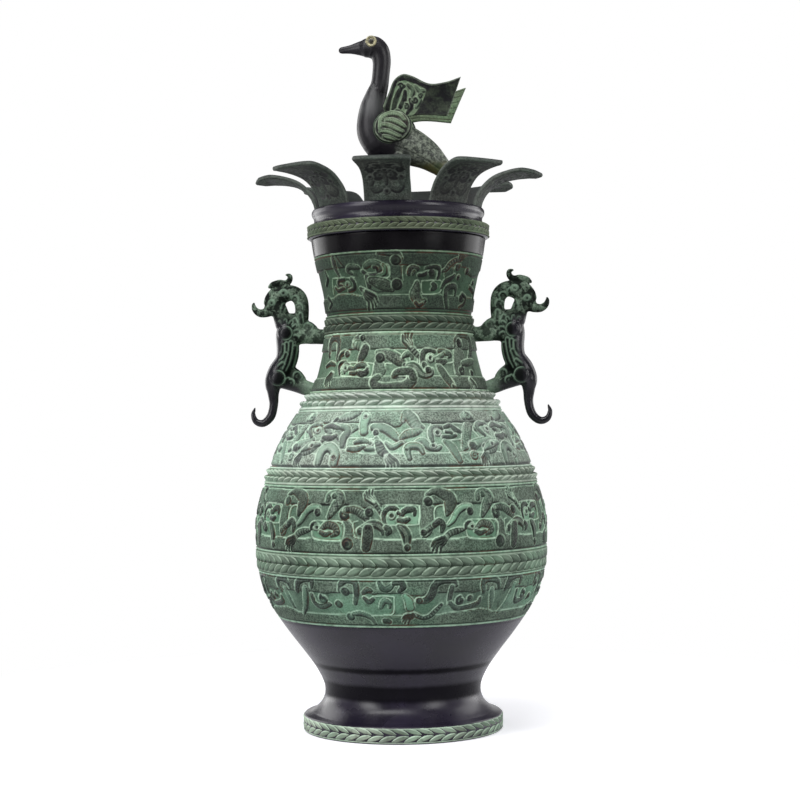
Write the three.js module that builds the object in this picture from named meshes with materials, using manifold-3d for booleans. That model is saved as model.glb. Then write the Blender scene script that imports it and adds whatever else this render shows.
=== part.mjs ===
// A bronze wine vessel of the hu type: a pear-shaped body on a ring foot, two beast
// handles, and a lifting lid with eight lotus petals round a standing crane.
// Millimetres, +Z up. The origin is the middle of the foot, on the ground; the handles
// lie along X and the crane looks towards -X.
import * as THREE from "three";
import { mergeVertices } from "three/addons/utils/BufferGeometryUtils.js";
import Module from "manifold-3d";

const wasm = await Module();
wasm.setup();

// Clearances
const SEAT_GAP = 0.3;            // between two pieces that rest on each other
const SOLDER_GAP = 0.5;          // between the crane's body and what is soldered to it
const PIN_CLEARANCE = 0.3;       // round a rivet or tenon in its hole
const PETAL_CLEARANCE = 0.45;    // round a petal's foot in the groove of the lid
const LID_CLEARANCE = 0.9;       // between the lid's plug and the inside of the neck
const HEAD_CLEARANCE = 0.15;     // between a rivet's head and the inside of the wall

// Vessel outside, from the ground up: the height of each band or border, and the
// wall's radius at its top edge, and at its middle where it bulges or hollows
const FOOT_RADIUS = 64.8;
const FOOT_RING_HEIGHT = 10.6;
const FOOT_STEP_RADIUS = 58.8;
const FOOT_STEP_RISE = 1.4;
const FOOT_NECK_RADIUS = 52.6;
const FOOT_NECK_RISE = 6;
const WAIST_RADIUS = 50.4;
const WAIST_RISE = 9.6;
const BELLY_FLARE_RADIUS = 57.6;
const BELLY_FLARE_RISE = 15.6;
const BELLY_BASE_MIDDLE_RADIUS = 69;
const BELLY_BASE_RADIUS = 79.8;
const BELLY_BASE_HEIGHT = 30.2;
const LOW_BAND_MIDDLE_RADIUS = 88.4;
const LOW_BAND_RADIUS = 92.6;
const LOW_BAND_HEIGHT = 30.6;
const LOW_ROPE_RADIUS = 93.9;
const LOW_ROPE_HEIGHT = 13.4;
const BELLY_BAND_MIDDLE_RADIUS = 93.7;
const BELLY_BAND_RADIUS = 88.2;
const BELLY_BAND_HEIGHT = 41.9;
const MIDDLE_ROPE_RADIUS = 84.9;
const MIDDLE_ROPE_HEIGHT = 9.7;
const SHOULDER_BAND_MIDDLE_RADIUS = 77.4;
const SHOULDER_BAND_RADIUS = 65.6;
const SHOULDER_BAND_HEIGHT = 37;
const UPPER_ROPE_RADIUS = 58.6;
const UPPER_ROPE_HEIGHT = 11;
const NECK_BAND_MIDDLE_RADIUS = 52.3;
const NECK_BAND_RADIUS = 48.7;
const NECK_BAND_HEIGHT = 37.5;
const TOP_ROPE_RADIUS = 47.7;
const TOP_ROPE_HEIGHT = 10.5;
const TOP_BAND_MIDDLE_RADIUS = 50.7;
const TOP_BAND_RADIUS = 54.9;
const TOP_BAND_HEIGHT = 39.5;
const MOUTH_RADIUS = 56.7;
const MOUTH_BAND_HEIGHT = 11.5;

// Rope borders: two rows of leaves that lean towards each other round the wall
const FOOT_ROPE_LEAVES = 52;     // in each of a border's two rows
const LOW_ROPE_LEAVES = 77;
const MIDDLE_ROPE_LEAVES = 71;
const UPPER_ROPE_LEAVES = 52;
const TOP_ROPE_LEAVES = 42;
const ROPE_PROUD = 0.9;          // how far a leaf's ridge stands out of the wall
const ROPE_EDGE_PROUD = 0.3;     // how far the border's two edges stand out
const ROPE_VALLEY = 0.5;         // how deep the line between the two rows lies in the wall
const ROPE_SLANT_SHARE = 0.28;   // of a border's height, from its edge up to the ridges
const ROPE_EDGE_SHARE = 0.07;    // of a border's height, below its lower leaves
const LEAF_LEAN = 0.5;           // how far a leaf leans over, in steps from leaf to leaf
const LEAF_RIDGE = [0.3, 0.7];   // where a leaf's ridge starts and ends along the leaf

// Vessel walls
const WALL = 3;
const FOOT_WALL = 3.4;
const FOOT_HOLLOW_HEIGHT = 30;
const FLOOR_THICKNESS = 4;
const FACETS = 40;               // faces round the vessel and the lid

// Lid
const LID_RING_RADIUS = 59.6;
const LID_RING_HEIGHT = 9.2;
const LID_RING_ROUNDING = 2.3;   // how far the ring's edges draw in
const LID_RING_ROUND_HEIGHT = 3.2;
const LID_NECK_RADIUS = 54.6;
const LID_NECK_HEIGHT = 3.4;
const LID_COVE_HEIGHT = 1.4;     // from the ring up to the narrowest line
const LID_ROLL_HEIGHT = 6.6;
const LID_ROLL_ROUND_HEIGHT = 2;
const LID_RIM_ROUNDING = 0.8;
const GROOVE_OUTER_WALL = 1.45;  // outside the groove that holds the petals
const GROOVE_INNER_WALL = 1.6;
const LID_PLATE_THICKNESS = 3;
const LID_RIM_DEPTH = 6;         // from the top of the rim down to the plate
const PLUG_DEPTH = 26;
const PLUG_WALL = 3;

// Petals
const PETAL_COUNT = 8;
const PETAL_THICKNESS = 2.6;
const PETAL_SEAT_RADIUS = 53;
const PETAL_TENON = 4;           // how deep the foot stands in the groove
const PETAL_REACH = 41.4;        // from the seat out to the tip
const PETAL_RISE = 22.2;         // from the rim up to the highest line
const PETAL_DROOP = 1.9;         // from the highest line down to the tip
const PETAL_WAIST_WIDTH = 30;
const PETAL_TIP_WIDTH = 36.5;
const PETAL_PEAK = 4.6;          // how far the middle of the end passes its corners

// Handles: where each strut meets the wall, and the beast seen from the side
const HANDLE_REACH = 99.6;       // from the axis out to the curl of the tail
const UPPER_STRUT_HEIGHT = 254;
const LOWER_STRUT_HEIGHT = 219.5;
const BEAST_HEIGHT = 100;        // from the lowest bend of the tail to the tip of the crest
const BEAST_SLENDERNESS = 0.9;   // half depth over half width of its limbs
const DRAWN_REACH = 50.3;        // the two sizes that the beast's points are drawn at
const DRAWN_HEIGHT = 100;
const RIVET_RADIUS = 2.1;
const RIVET_HEAD_RADIUS = 4.4;
const RIVET_HEAD_HEIGHT = 1.8;
const RIVET_SHOULDER_RADIUS = 3.1;
const RIVET_SHOULDER_HEIGHT = 1.4;
const RIVET_GRIP = 7;            // how far a rivet goes into the strut
const RIVET_SIDES = 12;

// Crane
const CRANE_FORWARD = 2;         // from the axis to the legs, towards the tail
const LEG_SPREAD = 13;           // between the two legs
const LEG_RADIUS = 1.7;
const LEG_TENON_RADIUS = 1.5;
const LEG_TOP = 11.6;            // below the middle line of the back, inside the belly
const TOE_LENGTH = 11;
const TOE_RADIUS = 1.2;
const TOE_ANGLES = [Math.PI - 0.42, Math.PI, Math.PI + 0.42, 0];
const WASHER_RADIUS = 4;
const WASHER_THICKNESS = 1.6;
const EYE_RADIUS = 3.2;
const EYE_DEPTH = 2.4;
const WING_THICKNESS = 2.4;
const WING_ROOT_OUT = 9.6;       // from the middle of the body out to the wing's lower edge
const WING_LEAN = 9;             // how far the wing's tip stands out past its root
const PAD_LENGTH = 12.8;         // half sizes of the swelling at the wing's root
const PAD_BULGE = 4.6;
const PAD_HEIGHT = 11.2;
const PAD_OUT = 11.4;
const PAD_TILT = 0.25;
const BODY_HEIGHT = 51.5;        // from the lid's plate to the middle of the back

const V2 = (x, y) => new THREE.Vector2(x, y);
const V3 = (x, y, z) => new THREE.Vector3(x, y, z);

// Solids: a closed mesh becomes a manifold solid, and a solid becomes a mesh again

function solidOf(geometry) {
  const bare = geometry.index ? geometry.toNonIndexed() : geometry.clone();
  bare.deleteAttribute("normal");
  bare.deleteAttribute("uv");
  const merged = mergeVertices(bare, 1e-4);
  const vertProperties = new Float32Array(merged.attributes.position.array);
  const triVerts = new Uint32Array(merged.index.array);
  return new wasm.Manifold(new wasm.Mesh({ numProp: 3, vertProperties, triVerts }));
}

function geometryOf(solid) {
  const mesh = solid.getMesh();
  const geometry = new THREE.BufferGeometry();
  geometry.setAttribute("position", new THREE.BufferAttribute(mesh.vertProperties, 3));
  geometry.setIndex(new THREE.BufferAttribute(mesh.triVerts, 1));
  return geometry;
}

const joined = (solids) => solids.reduce((all, next) => all.add(next));

// Turned pieces stand up along Z; their points are [radius, height]
function turned(points, facets = FACETS) {
  return new THREE.LatheGeometry(points, facets).rotateX(Math.PI / 2);
}

// A limb is a tube of changing radius along a smooth line in the XZ plane.
// Each point is [x, z, radius]; its ends are rounded.
function limb(points, { steps = 12, sides = 8, slender = 1, offset = 0, grow = 0 } = {}) {
  const line = new THREE.CatmullRomCurve3(points.map(([x, z, r]) => V3(x, r, z)), false, "centripetal");
  const positions = [];
  const addRing = (t) => {
    const at = line.getPoint(t);
    const along = line.getTangent(t);
    const across = V3(along.z, 0, -along.x).normalize();
    const radius = at.y + grow;
    for (let i = 0; i < sides; i++) {
      const turn = (i / sides) * 2 * Math.PI;
      const out = radius * Math.cos(turn);
      const side = radius * slender * Math.sin(turn);
      positions.push(at.x + across.x * out, offset + side, at.z + across.z * out);
    }
  };
  const addTip = (t, direction) => {
    const at = line.getPoint(t);
    const along = line.getTangent(t).setY(0).normalize();
    const reach = direction * (at.y * 0.6 + grow);
    positions.push(at.x + along.x * reach, offset, at.z + along.z * reach);
  };
  for (let k = 0; k <= steps; k++) addRing(k / steps);
  addTip(0, -1);
  addTip(1, 1);
  const geometry = new THREE.BufferGeometry();
  geometry.setAttribute("position", new THREE.Float32BufferAttribute(positions, 3));
  geometry.setIndex(tubeFaces(steps, sides));
  return outward(geometry);
}

function tubeFaces(steps, sides) {
  const faces = [];
  const startTip = (steps + 1) * sides;
  const endTip = startTip + 1;
  for (let i = 0; i < sides; i++) {
    const j = (i + 1) % sides;
    for (let k = 0; k < steps; k++) {
      const a = k * sides;
      const b = a + sides;
      faces.push(a + i, b + i, b + j, a + i, b + j, a + j);
    }
    faces.push(startTip, i, j);
    faces.push(endTip, steps * sides + j, steps * sides + i);
  }
  return faces;
}

// Turns every face round where a closed geometry has come out with its inside outwards
function outward(geometry) {
  const p = geometry.attributes.position;
  const index = geometry.index;
  const corner = (i) => V3().fromBufferAttribute(p, index.getX(i));
  let volume = 0;
  for (let i = 0; i < index.count; i += 3) {
    volume += corner(i).dot(corner(i + 1).cross(corner(i + 2)));
  }
  if (volume < 0) {
    for (let i = 0; i < index.count; i += 3) {
      const first = index.getX(i);
      index.setX(i, index.getX(i + 1));
      index.setX(i + 1, first);
    }
  }
  return geometry;
}

// A plate is a curved sheet of even thickness. middle(s, t) gives its middle surface.
function plate(middle, rows, columns, thickness) {
  const positions = [];
  const normalAt = (s, t) => {
    const d = 1e-3;
    const alongS = middle(s + d, t).sub(middle(s - d, t));
    const alongT = middle(s, t + d).sub(middle(s, t - d));
    return alongS.cross(alongT).normalize();
  };
  for (const side of [1, -1]) {
    for (let i = 0; i <= rows; i++) {
      for (let j = 0; j <= columns; j++) {
        const s = i / rows;
        const t = j / columns;
        const at = middle(s, t).addScaledVector(normalAt(s, t), (side * thickness) / 2);
        positions.push(at.x, at.y, at.z);
      }
    }
  }
  const geometry = new THREE.BufferGeometry();
  geometry.setAttribute("position", new THREE.Float32BufferAttribute(positions, 3));
  geometry.setIndex(plateFaces(rows, columns));
  return outward(geometry);
}

function plateFaces(rows, columns) {
  const faces = [];
  const width = columns + 1;
  const back = (rows + 1) * width;
  const quad = (a, b, c, d) => faces.push(a, b, c, a, c, d);
  for (let i = 0; i < rows; i++) {
    for (let j = 0; j < columns; j++) {
      const a = i * width + j;
      quad(a, a + width, a + width + 1, a + 1);
      quad(back + a, back + a + 1, back + a + width + 1, back + a + width);
    }
  }
  const edge = [];
  for (let j = 0; j < columns; j++) edge.push(j);
  for (let i = 0; i < rows; i++) edge.push(i * width + columns);
  for (let j = columns; j > 0; j--) edge.push(rows * width + j);
  for (let i = rows; i > 0; i--) edge.push(i * width);
  edge.forEach((a, k) => {
    const b = edge[(k + 1) % edge.length];
    quad(a, b, back + b, back + a);
  });
  return faces;
}

// Levels of the vessel, from the ground up

const FOOT_STEP_Z = FOOT_RING_HEIGHT + FOOT_STEP_RISE;
const FOOT_NECK_Z = FOOT_STEP_Z + FOOT_NECK_RISE;
const WAIST_Z = FOOT_NECK_Z + WAIST_RISE;
const FLARE_Z = WAIST_Z + BELLY_FLARE_RISE;
const LOW_BAND_Z = FLARE_Z + BELLY_BASE_HEIGHT;
const LOW_ROPE_Z = LOW_BAND_Z + LOW_BAND_HEIGHT;
const BELLY_BAND_Z = LOW_ROPE_Z + LOW_ROPE_HEIGHT;
const MIDDLE_ROPE_Z = BELLY_BAND_Z + BELLY_BAND_HEIGHT;
const SHOULDER_BAND_Z = MIDDLE_ROPE_Z + MIDDLE_ROPE_HEIGHT;
const UPPER_ROPE_Z = SHOULDER_BAND_Z + SHOULDER_BAND_HEIGHT;
const NECK_BAND_Z = UPPER_ROPE_Z + UPPER_ROPE_HEIGHT;
const TOP_ROPE_Z = NECK_BAND_Z + NECK_BAND_HEIGHT;
const TOP_BAND_Z = TOP_ROPE_Z + TOP_ROPE_HEIGHT;
const MOUTH_BAND_Z = TOP_BAND_Z + TOP_BAND_HEIGHT;
const MOUTH_Z = MOUTH_BAND_Z + MOUTH_BAND_HEIGHT;
const FLOOR_Z = FOOT_HOLLOW_HEIGHT + FLOOR_THICKNESS;

const STATIONS = [
  [FOOT_STEP_Z, FOOT_STEP_RADIUS],
  [FOOT_NECK_Z, FOOT_NECK_RADIUS],
  [WAIST_Z, WAIST_RADIUS],
  [FLARE_Z, BELLY_FLARE_RADIUS],
  [FLARE_Z + BELLY_BASE_HEIGHT / 2, BELLY_BASE_MIDDLE_RADIUS],
  [LOW_BAND_Z, BELLY_BASE_RADIUS],
  [LOW_BAND_Z + LOW_BAND_HEIGHT / 2, LOW_BAND_MIDDLE_RADIUS],
  [LOW_ROPE_Z, LOW_BAND_RADIUS],
  [BELLY_BAND_Z, LOW_ROPE_RADIUS],
  [BELLY_BAND_Z + BELLY_BAND_HEIGHT / 2, BELLY_BAND_MIDDLE_RADIUS],
  [MIDDLE_ROPE_Z, BELLY_BAND_RADIUS],
  [SHOULDER_BAND_Z, MIDDLE_ROPE_RADIUS],
  [SHOULDER_BAND_Z + SHOULDER_BAND_HEIGHT / 2, SHOULDER_BAND_MIDDLE_RADIUS],
  [UPPER_ROPE_Z, SHOULDER_BAND_RADIUS],
  [NECK_BAND_Z, UPPER_ROPE_RADIUS],
  [NECK_BAND_Z + NECK_BAND_HEIGHT / 2, NECK_BAND_MIDDLE_RADIUS],
  [TOP_ROPE_Z, NECK_BAND_RADIUS],
  [TOP_BAND_Z, TOP_ROPE_RADIUS],
  [TOP_BAND_Z + TOP_BAND_HEIGHT / 2, TOP_BAND_MIDDLE_RADIUS],
  [MOUTH_BAND_Z, TOP_BAND_RADIUS],
  [MOUTH_Z, MOUTH_RADIUS],
];

// Slope of the smooth curve at a station, from the stretches below and above it
function slopeAtStation(k) {
  const low = Math.max(k - 1, 0);
  const high = Math.min(k, STATIONS.length - 2);
  const stretch = (i) => {
    const length = STATIONS[i + 1][0] - STATIONS[i][0];
    return { length, slope: (STATIONS[i + 1][1] - STATIONS[i][1]) / length };
  };
  const below = stretch(low);
  const above = stretch(high);
  return (above.length * below.slope + below.length * above.slope) / (above.length + below.length);
}

// Radius of the wall's outer face at height z: a smooth curve through the stations
function wallRadius(z) {
  const last = STATIONS.length - 2;
  const above = STATIONS.findIndex(([level]) => level > z);
  const k = above < 0 ? last : Math.max(0, Math.min(last, above - 1));
  const [z0, r0] = STATIONS[k];
  const [z1, r1] = STATIONS[k + 1];
  const span = z1 - z0;
  const u = THREE.MathUtils.clamp((z - z0) / span, 0, 1);
  const rise = u * u * (3 - 2 * u);
  const start = slopeAtStation(k) * u * (1 - u) * (1 - u);
  const end = slopeAtStation(k + 1) * u * u * (u - 1);
  return r0 + (r1 - r0) * rise + span * (start + end);
}

function wallSlope(z) {
  const d = 0.5;
  return (wallRadius(z + d) - wallRadius(z - d)) / (2 * d);
}

// The inner face lies one wall thickness inside, square to the wall
function innerRadius(z) {
  return wallRadius(z) - WALL * Math.hypot(1, wallSlope(z));
}

function levelsBetween(low, high, count) {
  return Array.from({ length: count + 1 }, (_, i) => low + ((high - low) * i) / count);
}

// A closed shell that is built up from level rings of points, which may differ in number
class Shell {
  positions = [];
  faces = [];
  lastRing = null;

  point(radius, z, share) {
    const angle = share * 2 * Math.PI - Math.PI / 2;
    this.positions.push(radius * Math.cos(angle), radius * Math.sin(angle), z);
    return this.positions.length / 3 - 1;
  }

  // turn says by what share of a step the ring is turned on
  circle(radius, z, count, turn) {
    const start = this.positions.length / 3;
    for (let k = 0; k < count; k++) this.point(radius, z, (k + turn) / count);
    return { radius, z, count, turn, at: (k) => start + (k % count) };
  }

  // Goes on from the last ring to a new one with a row of triangles. The first ring is
  // closed with a fan from the axis.
  ring(radius, z, count = FACETS) {
    const ring = this.circle(radius, z, count, 0);
    if (this.lastRing) {
      this.zip(this.lastRing, ring);
    } else {
      const middle = this.point(0, z, 0);
      for (let k = 0; k < count; k++) this.faces.push(middle, ring.at(k + 1), ring.at(k));
    }
    this.lastRing = ring;
  }

  // Closes the shell with a fan from the last ring to the axis
  close() {
    const { z, count, at } = this.lastRing;
    const middle = this.point(0, z, 0);
    for (let k = 0; k < count; k++) this.faces.push(at(k), at(k + 1), middle);
  }

  geometry() {
    const geometry = new THREE.BufferGeometry();
    geometry.setAttribute("position", new THREE.Float32BufferAttribute(this.positions, 3));
    geometry.setIndex(this.faces);
    return outward(geometry);
  }

  zip(low, high) {
    let i = 0;
    let j = 0;
    while (i < low.count || j < high.count) {
      const lowIsNext = (i + 1) / low.count <= (j + 1) / high.count;
      if (i < low.count && (lowIsNext || j === high.count)) {
        this.faces.push(low.at(i), low.at(i + 1), high.at(j));
        i += 1;
      } else {
        this.faces.push(low.at(i), high.at(j + 1), high.at(j));
        j += 1;
      }
    }
  }

  // Goes on to a new ring with a row of leaves. A leaf fills a leaning four-sided cell
  // between the two rings, and its ridge runs along the cell's longer diagonal.
  leaves(radius, z, turn, ridgeRadius) {
    const low = this.lastRing;
    const high = this.circle(radius, z, low.count, turn);
    const [from, to] = turn > low.turn ? [low, high] : [high, low];
    for (let k = 0; k < low.count; k++) {
      const ridge = LEAF_RIDGE.map((share) => {
        const step = THREE.MathUtils.lerp(k + from.turn, k + 1 + to.turn, share);
        const level = THREE.MathUtils.lerp(from.z, to.z, share);
        return this.point(ridgeRadius(level), level, step / low.count);
      });
      this.leaf([low.at(k), low.at(k + 1), high.at(k + 1), high.at(k)], ridge, turn > low.turn);
    }
    this.lastRing = high;
  }

  leaf([a, b, c, d], [start, end], leansOn) {
    if (leansOn) {
      this.faces.push(a, b, start, b, end, start, b, c, end, c, d, end, d, start, end, d, a, start);
    } else {
      this.faces.push(a, b, end, b, c, end, c, start, end, c, d, start, d, a, start, a, end, start);
    }
  }
}

function addPoints(shell, points) {
  points.forEach(({ x, y }) => shell.ring(x, y));
}

// Adds a rope border to the shell, with the wall's points below and above it
function addRope(shell, { z, height, leaves, radiusAt = wallRadius }) {
  const lowEdge = z + height * ROPE_EDGE_SHARE;
  const highEdge = z + height * (1 - ROPE_EDGE_SHARE);
  const middle = z + height / 2;
  const ridgeRadius = (level) => radiusAt(level) + ROPE_PROUD;
  shell.ring(radiusAt(z), z);
  shell.ring(radiusAt(lowEdge) + ROPE_EDGE_PROUD, lowEdge, leaves);
  shell.leaves(radiusAt(middle) - ROPE_VALLEY, middle, LEAF_LEAN, ridgeRadius);
  shell.leaves(radiusAt(highEdge) + ROPE_EDGE_PROUD, highEdge, 0, ridgeRadius);
  shell.ring(radiusAt(z + height), z + height);
}

// A rope border without its leaves, as proud all round as their ridges
function ropeOutline({ z, height }) {
  const shoulder = height * ROPE_SLANT_SHARE;
  return [
    V2(wallRadius(z), z),
    V2(wallRadius(z + shoulder) + ROPE_PROUD, z + shoulder),
    V2(wallRadius(z + height - shoulder) + ROPE_PROUD, z + height - shoulder),
    V2(wallRadius(z + height), z + height),
  ];
}

// The rope borders on the wall. Each closes the band below it, which starts at height
// from and has bandSteps steps.
const FOOT_BED_RADIUS = FOOT_RADIUS - ROPE_PROUD;
const FOOT_ROPE = {
  z: 0, height: FOOT_RING_HEIGHT, leaves: FOOT_ROPE_LEAVES, radiusAt: () => FOOT_BED_RADIUS,
};
const WALL_ROPES = [
  { from: LOW_BAND_Z, bandSteps: 3, z: LOW_ROPE_Z, height: LOW_ROPE_HEIGHT, leaves: LOW_ROPE_LEAVES },
  {
    from: BELLY_BAND_Z, bandSteps: 4,
    z: MIDDLE_ROPE_Z, height: MIDDLE_ROPE_HEIGHT, leaves: MIDDLE_ROPE_LEAVES,
  },
  {
    from: SHOULDER_BAND_Z, bandSteps: 3,
    z: UPPER_ROPE_Z, height: UPPER_ROPE_HEIGHT, leaves: UPPER_ROPE_LEAVES,
  },
  { from: NECK_BAND_Z, bandSteps: 4, z: TOP_ROPE_Z, height: TOP_ROPE_HEIGHT, leaves: TOP_ROPE_LEAVES },
];

function bandOutline(low, high, count) {
  return levelsBetween(low, high, count).slice(1, -1).map((z) => V2(wallRadius(z), z));
}

// The outside of the vessel from the foot's step up to the lowest band
function baseOutline() {
  return [
    V2(FOOT_STEP_RADIUS, FOOT_STEP_Z),
    ...bandOutline(FOOT_STEP_Z, WAIST_Z, 3),
    V2(WAIST_RADIUS, WAIST_Z),
    ...bandOutline(WAIST_Z, LOW_BAND_Z, 4),
    V2(wallRadius(LOW_BAND_Z), LOW_BAND_Z),
  ];
}

// The outside of the vessel above its highest rope border
function mouthOutline() {
  return [
    ...bandOutline(TOP_BAND_Z, MOUTH_BAND_Z, 3),
    V2(wallRadius(MOUTH_BAND_Z), MOUTH_BAND_Z),
    V2(MOUTH_RADIUS, MOUTH_Z),
  ];
}

function vesselInside() {
  const levels = levelsBetween(FLOOR_Z, MOUTH_Z, 11);
  return levels.map((z) => V2(innerRadius(z), z)).reverse();
}

function footHollow() {
  const levels = levelsBetween(FOOT_STEP_Z, FOOT_HOLLOW_HEIGHT, 3);
  const sides = levels.map((z) => V2(wallRadius(z) - FOOT_WALL, z)).reverse();
  return [...sides, V2(FOOT_STEP_RADIUS - FOOT_WALL, 0)];
}

// The vessel from the hollow under its foot, round the outside and over the mouth to its floor
function vesselShell() {
  const shell = new Shell();
  addPoints(shell, footHollow());
  addRope(shell, FOOT_ROPE);
  addPoints(shell, baseOutline());
  for (const rope of WALL_ROPES) {
    addPoints(shell, bandOutline(rope.from, rope.z, rope.bandSteps));
    addRope(shell, rope);
  }
  addPoints(shell, mouthOutline());
  addPoints(shell, vesselInside());
  shell.close();
  return shell.geometry();
}

// The outside grown by one seat gap: what a piece fastened to the wall is cut with
function vesselCutter() {
  const bands = WALL_ROPES.flatMap((rope) => {
    return [...bandOutline(rope.from, rope.z, rope.bandSteps), ...ropeOutline(rope)];
  });
  const outline = [...baseOutline(), ...bands, ...mouthOutline()].filter((p) => p.y > FLOOR_Z);
  const grown = outline.map((p) => V2(p.x + SEAT_GAP, p.y));
  return solidOf(turned([V2(0, grown[0].y), ...grown, V2(0, grown[grown.length - 1].y)]));
}

// Rivets that hold the handles: each goes square through the wall into its strut.
// A rivet is drawn along +Z with the underside of its head at the origin.

// Where a rivet at height z starts, and how it is turned, on the +X side
function rivetPlace(z) {
  const tilt = Math.atan(wallSlope(z));
  const headSag = innerRadius(z) - Math.sqrt(innerRadius(z) ** 2 - RIVET_HEAD_RADIUS ** 2);
  const inset = WALL + SEAT_GAP + headSag + HEAD_CLEARANCE;
  const x = wallRadius(z) - inset * Math.cos(tilt);
  return { position: V3(x, 0, z + inset * Math.sin(tilt)), turn: Math.PI / 2 + tilt };
}

function rivetGeometry() {
  return turned([
    V2(0, -RIVET_HEAD_HEIGHT),
    V2(RIVET_SHOULDER_RADIUS, -RIVET_SHOULDER_HEIGHT),
    V2(RIVET_HEAD_RADIUS, 0),
    V2(RIVET_RADIUS, 0),
    V2(RIVET_RADIUS, WALL + RIVET_GRIP),
    V2(0, WALL + RIVET_GRIP),
  ], RIVET_SIDES);
}

function rivetHole(z) {
  const { position, turn } = rivetPlace(z);
  const length = WALL + RIVET_GRIP + 1;
  const radius = RIVET_RADIUS + PIN_CLEARANCE;
  const hole = new THREE.CylinderGeometry(radius, radius, length, RIVET_SIDES);
  hole.rotateX(Math.PI / 2).translate(0, 0, length / 2).rotateY(turn);
  return solidOf(hole.translate(position.x, 0, position.z));
}

// Handles

// The beast from the side, measured from where its upper strut leaves the wall. Its
// points move with the wall, the beast's reach and its height.
function beastLimbs() {
  const x0 = wallRadius(UPPER_STRUT_HEIGHT);
  const z0 = UPPER_STRUT_HEIGHT;
  const stretch = (HANDLE_REACH - x0) / DRAWN_REACH;
  const rise = BEAST_HEIGHT / DRAWN_HEIGHT;
  const at = (x, z, r) => [x0 + x * stretch, z0 + z * rise, r];
  const drop = (LOWER_STRUT_HEIGHT - UPPER_STRUT_HEIGHT) / rise;
  const lowRoot = wallRadius(LOWER_STRUT_HEIGHT) - x0;
  return {
    torso: [at(26.2, 9, 5.4), at(25.7, 1.2, 7.2), at(24.9, -8, 7.5), at(26.2, -15.4, 7.2),
      at(31, -22.8, 7.4), at(34.6, -29.6, 6.1), at(35, -36, 4), at(34.8, -44, 3),
      at(36.8, -51.6, 2.9), at(41.8, -56.2, 2.5), at(46.6, -54.8, 2.1), at(48.7, -50.2, 1.6),
      at(47.3, -46, 0.8)],
    neck: [at(23.4, 2.4, 5), at(16.9, 8.6, 4.4), at(15, 17.4, 3.9), at(16.5, 25.6, 4.2),
      at(22, 29.4, 4.5), at(29.2, 27.2, 5.2), at(34.2, 22.4, 4.8), at(35.4, 17.4, 3.6)],
    throat: [at(32, 23, 4.4), at(30.2, 16.4, 4.4), at(28, 9, 5)],
    snout: [at(34.4, 18, 3.6), at(39.4, 14.2, 2.3), at(43, 15.2, 1.9), at(45, 18.4, 1.3)],
    crest: [at(34.6, 34, 1.5), at(31, 35.4, 1.8), at(26, 35.4, 2), at(22.6, 35.2, 2), at(21.6, 38.6, 1.5),
      at(22.8, 41, 0.8)],
    brow: [at(22.6, 33, 2.6), at(29, 32.4, 3.2), at(34.6, 29.4, 2.4)],
    upperStrut: [at(-4, 0, 4.7), at(8, 0.3, 4.6), at(20, 0.6, 5.4)],
    upperCurl: [at(8.2, 5.6, 2.8), at(11, 7, 3.4), at(14, 7.6, 3)],
    lowerStrut: [at(lowRoot - 5, drop - 1.5, 4.4), at(lowRoot + 6, drop + 1.4, 4.3),
      at(17.4, -31.6, 4.6), at(29, -27, 6)],
    lowerCurl: [at(15.4, -27.2, 2.4), at(18.4, -24.8, 3.2), at(22, -22, 3.4)],
  };
}

const LIMB_STEPS = { torso: 17, neck: 10, snout: 4, crest: 5, throat: 3, brow: 3 };

function beastSolid() {
  const limbs = Object.entries(beastLimbs()).map(([name, points]) => {
    const slender = name === "crest" ? 0.8 : BEAST_SLENDERNESS;
    return solidOf(limb(points, { steps: LIMB_STEPS[name] ?? 3, sides: 8, slender }));
  });
  return joined(limbs);
}

function handleGeometry() {
  const holes = joined([UPPER_STRUT_HEIGHT, LOWER_STRUT_HEIGHT].map(rivetHole));
  return geometryOf(beastSolid().subtract(vesselCutter()).subtract(holes));
}

function vesselGeometry() {
  const right = joined([UPPER_STRUT_HEIGHT, LOWER_STRUT_HEIGHT].map(rivetHole));
  const left = solidOf(geometryOf(right).rotateZ(Math.PI));
  return geometryOf(solidOf(vesselShell()).subtract(right).subtract(left));
}

// Lid

const LID_Z = MOUTH_Z + SEAT_GAP;
const LID_RING_TOP = LID_Z + LID_RING_HEIGHT;
const LID_NECK_TOP = LID_RING_TOP + LID_NECK_HEIGHT;
const RIM_Z = LID_NECK_TOP + LID_ROLL_HEIGHT;
const PLATE_TOP = RIM_Z - LID_RIM_DEPTH;
const PLATE_BOTTOM = PLATE_TOP - LID_PLATE_THICKNESS;
const GROOVE_HALF = PETAL_THICKNESS / 2 + PETAL_CLEARANCE;
const GROOVE_OUT = PETAL_SEAT_RADIUS + GROOVE_HALF;
const GROOVE_IN = PETAL_SEAT_RADIUS - GROOVE_HALF;
const ROLL_RADIUS = GROOVE_OUT + GROOVE_OUTER_WALL;
const GROOVE_Z = RIM_Z - PETAL_TENON - SEAT_GAP;

const plugRadius = (z) => innerRadius(z) - LID_CLEARANCE;

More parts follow.
